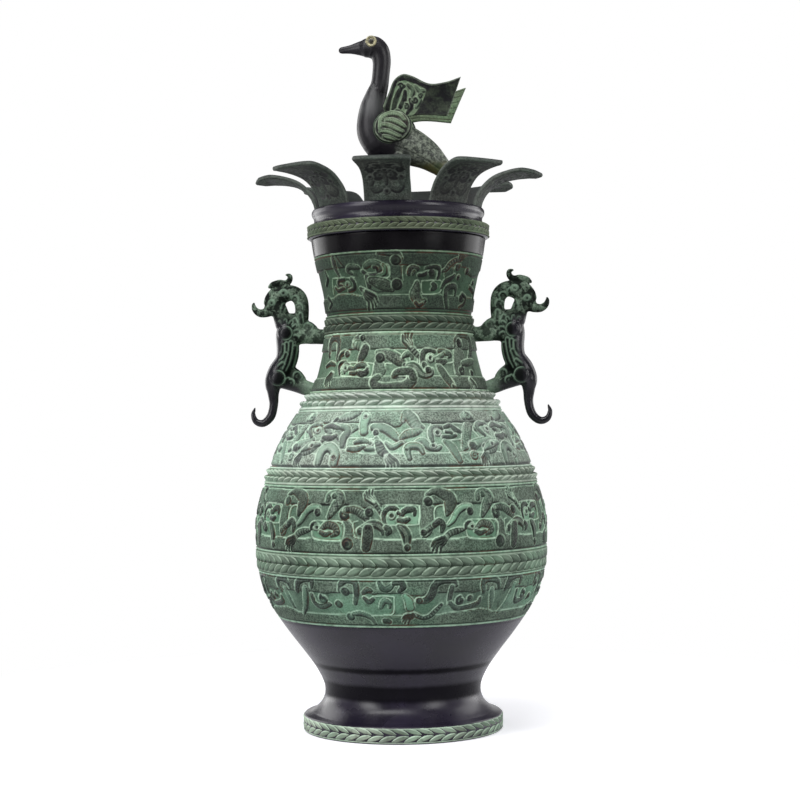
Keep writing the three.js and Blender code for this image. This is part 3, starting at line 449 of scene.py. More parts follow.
def outline_of(node):
    """The outer profile of a turned node, as (height, radius) in mm, read on its -Y side."""
    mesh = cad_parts[node].data
    found = {}
    for face in mesh.polygons:
        for i in face.vertices if face.normal.y <= -0.1 else ():
            x, y, z = mesh.vertices[i].co
            if abs(x) < 1e-6 and y < 0:
                level = round(z / MM, 2)
                found[level] = max(found.get(level, 0), -y / MM)
    return sorted(found.items())


class Profile:
    """The vessel's outer wall as a smooth curve of radius over height, rope bulges left out."""

    def __init__(self, points):
        kept = [p for p in points if p[0] >= 12 and not any(low + 0.5 < p[0] < high - 0.5 for low, high in ROPES)]
        self.z, self.r = np.array(kept).T
        self.m = np.gradient(self.r, self.z)

    def radius(self, z):
        k = np.clip(np.searchsorted(self.z, z, side="right") - 1, 0, len(self.z) - 2)
        span = self.z[k + 1] - self.z[k]
        u = np.clip((z - self.z[k]) / span, 0, 1)
        bend = self.m[k] * u * (1 - u) ** 2 + self.m[k + 1] * u * u * (u - 1)
        return self.r[k] + (self.r[k + 1] - self.r[k]) * smooth(u) + span * bend

    def path(self, low, high, rows):
        """Rows of (radius, height, outward r, outward z) evenly spaced along the wall."""
        z = np.linspace(low, high, 400)
        run = lengths(np.stack([z, self.radius(z)], axis=1))
        at = np.interp(np.linspace(0, run[-1], rows), run, z)
        s = (self.radius(at + 0.25) - self.radius(at - 0.25)) / 0.5
        n = np.hypot(1, s)
        return np.stack([self.radius(at), at, 1 / n, -s / n], axis=1)


wall = Profile(outline_of("vessel_body"))


def sleeve(name, low, high, relief, repeats, lift, material):
    """Wraps a relief round the wall between two heights, and closes it behind.

    lift is the relief height that comes out at the wall's own radius.
    """
    columns = relief.nx * repeats
    angles = FRONT + (np.arange(columns) / relief.nx - 0.5) * 2 * math.pi / repeats
    out = np.tile((relief.h - lift) * RELIEF_RISE, (1, repeats))
    out = np.pad(np.where(out > 0, out * PROUD_SHARE, out), ((1, 1), (0, 0)), constant_values=SLEEVE_BACK)
    rows = np.pad(wall.path(low, high, relief.ny), ((1, 1), (0, 0)), mode="edge")
    r = rows[:, 0:1] + rows[:, 2:3] * out
    z = rows[:, 1:2] + rows[:, 3:4] * out
    verts = np.stack([r * np.cos(angles), r * np.sin(angles), z], axis=-1).reshape(-1, 3) * MM
    fields = {field: np.pad(np.tile(values, (1, repeats)), ((1, 1), (0, 0)), mode="edge").ravel()
              for field, values in zip(FIELDS, (relief.dark, relief.grain, *relief.finish()))}
    piece(name, verts, ring_faces(relief.ny + 2, columns), "vessel", "patinated_bronze", material, fields=fields)


def rounded(line):
    """Adds a round end to each end of a line of (…, radius) points."""
    ends = []
    for here, inner in ((line[0], line[1]), (line[-1], line[-2])):
        way = here[:-1] - inner[:-1]
        way = way / (np.linalg.norm(way) + 1e-12)
        ends.append([np.append(here[:-1] + way * here[-1] * math.sin(a), here[-1] * math.cos(a))
                     for a in np.radians((84, 66, 44, 22))])
    return np.vstack([ends[0], line, ends[1][::-1]])


def tube(points, sides=20, slender=1.0, flat_way=(0, 1, 0)):
    """A limb of changing radius along (x, y, z, radius) points in mm; slender shapes it along flat_way."""
    line = rounded(through(points))
    at, r = line[:, :3], line[:, 3][:, None, None]
    ahead = np.gradient(at, axis=0)
    ahead /= np.linalg.norm(ahead, axis=1, keepdims=True) + 1e-12
    side = np.array(flat_way) - ahead * (ahead @ np.array(flat_way))[:, None]
    side /= np.linalg.norm(side, axis=1, keepdims=True)
    over = np.cross(ahead, side)
    turn = round_angles(sides)[:, None]
    verts = at[:, None] + r * (over[:, None] * np.cos(turn) + side[:, None] * slender * np.sin(turn))
    tips = [at[0] + (at[0] - at[1]) * 0.05, at[-1] + (at[-1] - at[-2]) * 0.05]
    return np.vstack([verts.reshape(-1, 3), tips]) * MM, tipped_faces(len(line), sides)


def turned_about_y(p, angle):
    c, s = math.cos(angle), math.sin(angle)
    return np.stack([p[..., 0] * c + p[..., 2] * s, p[..., 1], -p[..., 0] * s + p[..., 2] * c], axis=-1)


def ball(x, y, z, rx, ry, rz, turn=0.0):
    """An egg-shaped lump, turned about the Y axis."""
    rows, columns = 14, 24
    a = np.linspace(0.12, math.pi - 0.12, rows)[:, None]
    b = round_angles(columns)[None, :]
    p = np.stack([np.sin(a) * np.cos(b) * rx, np.sin(a) * np.sin(b) * ry, -np.cos(a) * rz + 0 * b], axis=-1)
    return (turned_about_y(p, turn).reshape(-1, 3) + (x, y, z)) * MM, lidded_faces(rows, columns)


def melted(name, parts, voxel, rounds):
    """One skin over several overlapping closed parts, softened where they meet."""
    faces, start = [], 0
    for v, f in parts:
        faces += [[i + start for i in face] for face in f]
        start += len(v)
    obj = new_object(name, np.vstack([v for v, f in parts]), faces)
    skin = obj.modifiers.new("skin", "REMESH")
    skin.mode = "VOXEL"
    skin.voxel_size = voxel * MM
    soften = obj.modifiers.new("soften", "SMOOTH")
    soften.factor = 0.5
    soften.iterations = rounds
    return settled(obj)


def settled(obj):
    """Applies an object's modifiers by taking its evaluated mesh."""
    ready = obj.evaluated_get(bpy.context.evaluated_depsgraph_get())
    made = bpy.data.meshes.new_from_object(ready)
    obj.modifiers.clear()
    obj.data = made
    return obj


def read_points(mesh, what="co"):
    values = np.zeros(len(mesh.vertices) * 3, np.float32)
    mesh.vertices.foreach_get(what, values)
    return values.reshape(-1, 3).astype(float)


def write_points(mesh, co):
    mesh.vertices.foreach_set("co", co.astype(np.float32).ravel())
    mesh.update()


def engrave(obj, relief, lift):
    """Presses a relief in X and Z into both sides of a skin, less where the skin turns away."""
    co, normal = read_points(obj.data), read_points(obj.data, "normal")
    h, *values = relief.sample(co[:, 0], co[:, 2])
    share = smooth((np.abs(normal[:, 1]) - 0.12) / 0.35)
    write_points(obj.data, co + normal * ((h - lift) * share * MM)[:, None])
    write_fields(obj.data, {name: value * share for name, value in zip(FIELDS, values)})


# Finishes

class Finish:
    """A material whose nodes are laid out by short calls."""

    def __init__(self, name):
        self.material = bpy.data.materials.new(name)
        self.material.use_nodes = True
        self.nodes = self.material.node_tree.nodes
        self.links = self.material.node_tree.links
        self.shader = self.nodes["Principled BSDF"]
        self.at = self.nodes.new("ShaderNodeTexCoord").outputs["Object"]

    def put(self, socket, value):
        if isinstance(value, bpy.types.NodeSocket):
            self.links.new(value, socket)
        elif value is not None:
            socket.default_value = (*value, 1) if isinstance(value, tuple) and len(value) < len(
                socket.default_value) else value

    def node(self, kind, settings={}, **inputs):
        """A new node; inputs are named as its sockets are, with _ for a space."""
        node = self.nodes.new("ShaderNode" + kind)
        for key, value in settings.items():
            setattr(node, key, value)
        for name, value in inputs.items():
            self.put(node.inputs[name.replace("_", " ")], value)
        return node

    def xyz(self):
        """The three Object coordinates, in metres."""
        return self.node("SeparateXYZ", Vector=self.at).outputs

    def noise(self, scale, detail=4.0, roughness=0.6, stretch=None):
        at = self.node("Mapping", Scale=stretch, Vector=self.at).outputs["Vector"] if stretch else self.at
        return self.node("TexNoise", Scale=scale, Detail=detail, Roughness=roughness, Vector=at).outputs["Fac"]

    def span(self, value, low, high, to_low=0.0, to_high=1.0):
        return self.node("MapRange", {"interpolation_type": "SMOOTHSTEP"}, Value=value, From_Min=low,
                         From_Max=high, To_Min=to_low, To_Max=to_high).outputs["Result"]

    def math(self, operation, a, b=None):
        node = self.node("Math", {"operation": operation})
        self.put(node.inputs[0], a)
        self.put(node.inputs[1], b)
        return node.outputs[0]

    def times(self, a, b):
        return self.math("MULTIPLY", a, b)

    def plus(self, a, b):
        return self.math("ADD", a, b)

    def field(self, name, share=None):
        found = self.node("Attribute", {"attribute_name": name}).outputs["Fac"]
        return self.times(found, share) if share else found

    def mix(self, share, a, b, blend="MIX"):
        node = self.node("Mix", {"data_type": "RGBA", "blend_type": blend})
        for k, value in ((0, share), (6, a), (7, b)):
            self.put(node.inputs[k], value)
        return node.outputs[2]

    def bump(self, height, distance):
        return self.node("Bump", Distance=distance, Height=height).outputs["Normal"]

    def done(self, color, roughness, normal, metallic=0.0, specular=0.5):
        for name, value in (("Base Color", color), ("Roughness", roughness), ("Normal", normal),
                            ("Metallic", metallic), ("Specular IOR Level", specular)):
            self.put(self.shader.inputs[name], value)
        return self.material


def shade(color, share, lift=0.0):
    return tuple(c * share + lift for c in color)


def patina(name, ground, ribbon, raised, edge, hollow, rust=0.75, edge_share=0.9):
    """Patinated relief: pale in the ground, grainy on the ribbons, dark on the raised beasts, with painted shade in
    the hollows and under shapes, and pale edges that are partly a painted highlight.
    """
    f = Finish(name)
    speck = f.noise(900, 3, 0.7)
    grain = f.field("grain")
    base = f.mix(f.span(f.noise(55, 5, 0.62), 0.35, 0.68), ground, shade(ground, 0.66))
    rib = f.mix(f.span(speck, 0.38, 0.62), shade(ribbon, 0.5), shade(ribbon, 1.45))
    color = f.mix(grain, base, rib)
    color = f.mix(f.span(f.noise(210, 3, 0.6), 0.56, 0.70, 0.0, 0.6), color, shade(ribbon, 0.4))
    # The dark field holds the beasts' own dark bronze and the painted shade under shapes and on their lower edges
    dark = f.times(f.span(f.field("dark"), 0.0, 0.55), f.span(f.noise(170, 4, 0.65), 0.42, 0.72, 1.0, 0.72))
    color = f.mix(dark, color, f.mix(f.span(speck, 0.52, 0.75), raised, shade(raised, 3.0)))
    color = f.mix(1.0, color, f.span(f.noise(26, 4, 0.6), 0.36, 0.66, 1.0, 0.55), "MULTIPLY")
    mint = f.span(f.noise(19, 3, 0.6), 0.40, 0.62)
    color = f.mix(mint, color, f.mix(1.0, color, (0.86, 1.04, 0.95), "MULTIPLY"))
    # Pale edges: partly wear, partly a painted highlight on crests and upper edges
    wear_and_highlight = f.times(f.field("crest"), f.span(f.noise(300, 2, 0.6), 0.3, 0.6, 0.35, 1.0))
    color = f.mix(f.times(wear_and_highlight, edge_share), color, edge)
    # Painted shade: hollow cells darkened to the hollow colour; the rust below is the patina's own
    color = f.mix(f.field("hollow", 0.8), color, hollow)
    red = f.times(f.span(f.noise(38, 3, 0.6), 0.50, 0.62), f.field("hollow"))
    color = f.mix(f.times(red, rust), color, (0.15, 0.055, 0.025))
    pits = f.plus(f.times(speck, f.plus(f.times(grain, 0.8), 0.25)), f.times(f.noise(2600, 2, 0.6), 0.15))
    return f.done(color, f.math("SUBTRACT", 0.78, f.times(dark, 0.26)), f.bump(pits, 0.00022), specular=0.3)


def black_bronze(name, color, sheen=0.2, green=0.0, specular=0.5, shade_bands=()):
    """Smooth black-brown bronze: a soft sheen, faint clouds and the odd green stain.

    The bands given are (height, half width, softness) in metres of painted shade: black, less glossy lines round the
    waist.
    """
    f = Finish(name)
    cloud = f.noise(28, 5, 0.6)
    streak = f.noise(70, 3, 0.6, stretch=(1, 1, 0.25))
    verdigris = (0.10, 0.15, 0.11)
    base = f.mix(f.span(cloud, 0.35, 0.7), color, shade(color, 1.9, 0.004))
    base = f.mix(f.span(streak, 0.52, 0.75, 0.0, 0.5), base, shade(color, 2.6))
    base = f.mix(f.times(f.span(f.noise(120, 4, 0.65), 0.56, 0.70), green), base, verdigris)
    base = f.mix(f.field("crest", 0.4), base, (0.16, 0.17, 0.15))
    base = f.mix(f.field("hollow", 0.8), base, verdigris)
    shaded = 0.0
    for middle, half, soft in shade_bands:
        off = f.math("ABSOLUTE", f.math("SUBTRACT", f.xyz()["Z"], middle))
        line = f.span(f.plus(off, f.times(streak, 0.0016)), half + 0.0008 + soft, half + 0.0008)
        shaded = f.math("MAXIMUM", line, shaded)
    # Painted shade: along each band the colour turns near-black and the specular drops
    if shade_bands:
        base = f.mix(f.times(shaded, 0.85), base, (0.002, 0.0015, 0.003))
        specular = f.times(f.math("SUBTRACT", 1.0, f.times(shaded, 0.8)), specular)
    pits = f.plus(f.noise(1400, 3, 0.6), f.times(cloud, 2.0))
    return f.done(base, f.span(cloud, 0.3, 0.7, sheen, sheen + 0.12), f.bump(pits, 0.00006), specular=specular)


# Tones are set band by band, partly the patina's own and partly painted light: the shoulder's paler tones stand in
# for light from above, the top band's darker ones for the shade under the petals
BAND_FINISHES = {key: patina("patinated bronze " + words, *tones, edge_share=share) for key, words, share, *tones in (
    ("low", "of the low band", 0.9, (0.32, 0.5632, 0.4096), (0.1705, 0.2365, 0.1815), (0.02, 0.025, 0.024),
     (0.65, 0.9, 0.7), (0.02, 0.036, 0.024)),
    ("belly", "of the belly", 0.9, (0.2405, 0.429, 0.2925), (0.138, 0.1898, 0.1437), (0.0064, 0.008, 0.0072),
     (0.572, 0.78, 0.5915), (0.0144, 0.024, 0.016)),
    ("shoulder", "of the shoulder", 0.8, (0.51, 0.71, 0.55), (0.31, 0.37, 0.31), (0.085, 0.090, 0.090),
     (0.74, 0.88, 0.75), (0.045, 0.065, 0.047)),
    ("neck", "of the neck", 0.9, (0.288, 0.4608, 0.3072), (0.1437, 0.1898, 0.1437), (0.0096, 0.0112, 0.0096),
     (0.675, 0.8708, 0.6615), (0.0176, 0.0304, 0.0176)),
    ("top", "under the mouth", 0.9, (0.104, 0.1885, 0.1144), (0.0517, 0.0736, 0.0529), (0.0018, 0.0024, 0.0018),
     (0.33, 0.465, 0.3225), (0.0042, 0.0077, 0.0042)))}
ROPE_FINISHES = {key: patina(words, *tones, rust=0.25, edge_share=0.7) for key, words, *tones in (
    ("foot", "patinated bronze of the foot", (0.52, 0.62, 0.50), (0.46, 0.51, 0.43), (0.23, 0.23, 0.18),
     (0.70, 0.88, 0.70), (0.09, 0.17, 0.10)),
    ("low", "patinated bronze of the low rope", (0.24, 0.34, 0.25), (0.20, 0.26, 0.21), (0.085, 0.125, 0.09),
     (0.52, 0.66, 0.52), (0.03, 0.05, 0.032)),
    ("middle", "patinated bronze of the middle rope", (0.40, 0.50, 0.40), (0.31, 0.38, 0.32), (0.19, 0.24, 0.19),
     (0.70, 0.80, 0.67), (0.06, 0.09, 0.06)),
    ("upper", "patinated bronze of the upper rope", (0.62, 0.72, 0.62), (0.46, 0.55, 0.47), (0.33, 0.40, 0.33),
     (0.90, 0.96, 0.88), (0.11, 0.15, 0.11)),
    ("top", "dark bronze of the top rope", (0.085, 0.115, 0.085), (0.06, 0.08, 0.06), (0.035, 0.048, 0.036),
     (0.24, 0.30, 0.22), (0.012, 0.018, 0.012)))}
# Painted shade round the waist: a fine black line at 43.5 mm and a broad black band at 28.5 mm
BLACK_FINISH = black_bronze("smooth black bronze", (0.012, 0.0095, 0.019),
                            shade_bands=((0.0435, 0.0006, 0.0024), (0.0285, 0.0034, 0.0036)))
MOUTH_FINISH = black_bronze("black bronze of the mouth", (0.003, 0.0025, 0.0035), 0.12, specular=0.14)


# Bands of interlaced beasts. Each is one stretch of the pattern: x runs round the wall from the
# middle of the front, y up it from the band's lower edge, in mm. A stroke's points are x, y and
# half width. The first number after them says how dark it is; a second one says how grainy a
# limb is, or how far apart the ribs of a striped or scaled stroke are.

def low_band(r):
    r.strap(-1, 8.6)
    r.strap(24.2, 34)
    r.bar([(-52.5, 32.6), (-37.4, 33.2), (-39.8, 26.8), (-44.1, 23.4), (-53.7, 23.8)])
    r.bar([(-24.7, 33.2), (-13.3, 33.3), (-11.6, 27.3), (-15.1, 23.6), (-17.4, 23.6), (-24.6, 27.1)])
    r.bar([(2, 33.2), (22.7, 33), (17, 29.3), (14.7, 23.3), (9.6, 22.2), (1.9, 23.5)])
    r.bar([(-66.6, 8), (-36.8, 8.9), (-18.8, 9.9), (-13.5, 1.6), (-72.6, -0.3)])
    r.bar([(13.6, 3.2), (24.8, 9.8), (40.3, 10.6), (55.6, 12), (69, 5.3), (61.8, 1.7), (13.2, -0.1)])
    r.bar([(33.2, 32.3), (49, 31.7), (48.8, 24.1), (43, 23), (35, 26.1)])
    r.rim([(-17.5, 22.4), (-5.9, 22.2), (-4.9, 19.4), (-5.7, 10.6), (-11.5, 9.7)], closed=False)
    r.limb([(-69.9, 24.1, 1.2), (-67, 30.2, 1.9), (-61.2, 32.5, 1.9), (-56.6, 31.5, 1.6),
        (-57, 27.3, 0.9)], 0.6)
    r.limb([(-62, 26.4, 1.2), (-63.5, 20.8, 1.9), (-66.2, 14, 1.4), (-70.5, 8.3, 0.7)], 0.2)
    r.limb([(-58.1, 22.3, 1), (-57.2, 16.6, 1.4), (-52.8, 14.3, 1.6), (-46.4, 16.3, 1.2)], 0.65)
    r.curl(-49.7, 19.8, 2.8, 120, 1, 1, 0.6)
    r.ball(-39.8, 16.6, 2.3)
    r.limb([(-37.4, 25.9, 1.2), (-35.7, 30.8, 1.5), (-31.4, 32.6, 1.7), (-27.4, 30.7, 1.6),
        (-27.1, 24.4, 1.4), (-28.8, 17.3, 0.9)], 0.7)
    r.ball(-34.1, 25.2, 2.5)
    r.limb([(-22.9, 24.5, 1), (-20.4, 26.5, 1.4), (-18.2, 26, 0.8)], 0.9)
    r.limb([(-22.5, 21.1, 1), (-20.1, 18.7, 1.4), (-17.4, 20.4, 0.9)], 0.8)
    r.limb([(-13.2, 31.1, 0.9), (-11.3, 27.5, 1.5), (-8, 27.3, 1.6), (-5.1, 30.2, 0.9)], 0.85)
    r.limb([(-4.8, 30.6, 0.9), (-0.9, 31.3, 1.6), (0.6, 28.4, 1.6), (-1.6, 25.8, 0.9)], 0.85)
    r.limb([(-13, 14.7, 0.9), (-10.8, 19.2, 1.5), (-7.7, 18, 1.1), (-7.6, 14.8, 0.6)], 0.35)
    r.ball(-33.6, 7.9, 2.4)
    r.limb([(-31.3, 9.9, 0.9), (-26.1, 10.4, 1.4), (-20.3, 7.7, 1.2), (-17.6, 2.9, 0.7)], 0.4)
    r.limb([(-11.1, 5.2, 1.6), (-8.7, 4.7, 1.6)], 0.95, level=0.4)
    r.claw(7.2, 9.8, 215, 0.9, -1, [(12.7, 7.2, 1), (17.5, 8.4, 1.2), (20.8, 12.2, 1.3), (23.9, 16, 0.9)])
    r.limb([(1.9, 22.3, 1.4), (4, 19.1, 2.3), (4.9, 14.6, 2.5)], 0.05, level=0.7)
    r.limb([(9.6, 19.3, 1.6), (14.2, 19.4, 2.1), (17.5, 23.2, 2.3), (19.3, 29.2, 1.8),
        (23.9, 31.7, 1.6), (29.9, 31.5, 1.6), (31.9, 28.5, 0.9)], 0.65)
    r.ball(10.1, 19.3, 1.8)
    r.limb([(28.7, 16.6, 1), (29, 22.8, 1.4), (29.6, 27.6, 1.1)], 0.6)
    r.limb([(29.3, 17.1, 1.1), (33.8, 13.5, 1.4), (40.8, 13.6, 1.4), (48.4, 15.9, 1.4),
        (49.5, 19.2, 0.9)], 0.6)
    r.curl(35.9, 18.3, 2.8, 100, 0.9, 1, 0.6)
    r.ball(42.1, 19.7, 1.8)
    r.limb([(51.3, 23.3, 1.2), (50, 29.4, 1.6), (53.8, 31.4, 1.6), (60.2, 30, 1.4), (62.4, 25.7, 0.9)], 0.6)
    r.limb([(56.8, 24.8, 1), (58.4, 18.6, 1.6), (59.8, 12.5, 0.9)], 0.25)


def belly_band(r):
    r.strap(1.6, 9.6)
    r.strap(31, 39.6)
    r.bar([(-18.1, 40.2), (13.7, 39.9), (14, 37.5), (13, 31), (-15.9, 31.3), (-19.4, 35.4)])
    r.bar([(11.6, 32), (19.8, 31.4), (19.3, 23.9), (19.6, 17), (16, 11.2), (11, 11.3), (12, 28.7)])
    r.bar([(6.8, 10), (17.1, 10), (15.8, 1.9), (0, 2.1), (5.4, 5.7)])
    r.bar([(-37.1, 21.7), (-30.1, 21), (-29.6, 13.4), (-28.1, 10.5), (-16.1, 10.4), (-7.9, 9.4),
        (-3.4, 6.5), (-1.9, 2.1), (-37.6, 2)])
    r.bar([(27.3, 1.5), (30.1, 7.6), (38.6, 10.8), (46.3, 9.1), (61.3, 8.9), (64.3, 10.9), (64.9, 0)])
    r.bar([(36.8, 39.5), (47.9, 39.2), (45.3, 30.3), (35.7, 30.6)])
    r.bar([(64, 38.8), (87.5, 38.1), (84.4, 35), (87.1, 28.8), (62.7, 29.7)])
    r.bar([(34.9, 30), (44.8, 29.7), (37.2, 27.6), (33.4, 22.4), (31.7, 21.1)])
    r.rim([(-11.5, 21.7), (-11.5, 29), (-9.1, 30.8), (8.5, 30.6), (11, 28.7), (10.6, 20.8),
        (8.8, 18.7), (-9, 18.9)])
    r.rim([(39.8, 16.5), (41.4, 20.8), (49.4, 21), (62.1, 20), (62.3, 11), (58.9, 9.3), (42.4, 10.2)])
    r.rim([(20.3, 18.1), (20.1, 26.2), (23.1, 30.1), (32.4, 29.9)], closed=False)
    r.rim([(-28.5, 12.2), (-29.4, 19.7), (-26.7, 21)], closed=False)
    r.limb([(28.6, 18.2, 0.7), (31.7, 21.1, 1.4), (34.7, 25.7, 1.7), (38.9, 28.6, 1.7), (44, 28.9, 1.4)])
    r.ball(43.6, 26.3, 2.1)
    r.limb([(16.3, 36.8, 1), (20.8, 38.9, 1.6), (26.9, 37.2, 3), (31, 34.2, 3.7), (30.1, 29.5, 3.2),
        (28.1, 24.7, 0.9)], 0.35, 1)
    r.ball(16.7, 32.8, 2.6)
    r.curl(-34.8, 25, 3.4, 80, 1, 1)
    r.striped([(-34.7, 28, 1.3), (-29.1, 28, 1.8), (-24.9, 25.9, 2.1), (-21.6, 23.4, 1.8),
        (-20.5, 20.1, 0.7)], 0.7)
    r.ball(-19.6, 26.4, 2.5)
    r.claw(-17, 32.3, 125, 0.95, 1, [(-14.7, 29.4, 1.1), (-12.6, 26.4, 1), (-11.6, 24.5, 0.7)])
    r.limb([(-10.1, 20.1, 0.9), (-10.7, 24.9, 1.1), (-8.6, 28.2, 1.3), (-4.4, 29.1, 1.1),
        (-2.1, 28.2, 0.6)], 0.75)
    r.pit(-5.8, 24.3, 1.3, 0.9)
    r.limb([(-0.5, 23.5, 1), (1.1, 26.5, 1.4), (4.2, 28.1, 1.6), (7.7, 27.8, 1.4), (8, 25, 0.7)], 0.8)
    r.limb([(-1.7, 21.7, 1), (1.7, 21.2, 1.4), (4.5, 22.3, 0.9)], 0.75)
    r.ball(-1.8, 26, 1)
    r.lined([(-25.3, 15.1, 1.6), (-22, 17.4, 1.4), (-18.4, 19.2, 1.7), (-14.5, 18.8, 1.9),
        (-11.5, 16.5, 1.6), (-11.1, 14, 0.7)], 0.6, (-0.35, 0.35))
    r.ball(-25, 15.3, 1.8)
    r.limb([(-9, 17.4, 1.3), (-7.4, 15.6, 1.7), (-8.6, 13.5, 0.9)], 0.85)
    r.limb([(-20.1, 16.3, 2.7), (-20.3, 11.7, 3), (-21.3, 5.6, 2.5)], 0.55, 0.8)
    r.ball(-33.2, 7.5, 3.4)
    r.lined([(-1.7, 18, 0.7), (1, 16, 2.1), (3, 12.2, 2.5), (3, 7.6, 1.4)], 0.65, (-0.3, 0.35))
    r.ball(3.4, 5.3, 1.8)
    r.striped([(13.1, 14.2, 1.3), (16.8, 16.4, 1.1), (20.1, 18.8, 1.4)], 0.8)
    r.limb([(20.1, 18.8, 1.4), (23, 20.6, 1.7), (25.1, 18.5, 1.7), (24.3, 14.8, 0.9)], 0.8)
    r.ball(13.3, 14.2, 1.7)
    r.claw(26.5, 10.5, 222, 1.15, -1, [(29.7, 13.3, 1.5), (33.9, 14.6, 1.5), (38.2, 15.4, 0.7)])
    r.curl(42.6, 17.3, 3, 200, 0.8, -1)
    r.pit(44.2, 17, 1, 0.8)
    r.striped([(47.4, 16.2, 0.9), (51.3, 18.8, 1.6), (56.3, 17.7, 1.9), (58, 14.4, 1.5),
        (54.4, 12.5, 0.8)], 0.55)
    r.limb([(46.5, 14.2, 0.9), (49.9, 12.9, 1.3), (53.6, 13.9, 0.7)], 0.7)
    r.scaled([(50.1, 33.7, 0.9), (51.3, 37, 1.4), (56.5, 38, 1.9), (58.8, 34.2, 2.8), (55.5, 29, 2.5),
        (52.1, 23.5, 1)], 0.45)
    r.ball(54.4, 36.4, 1.5)


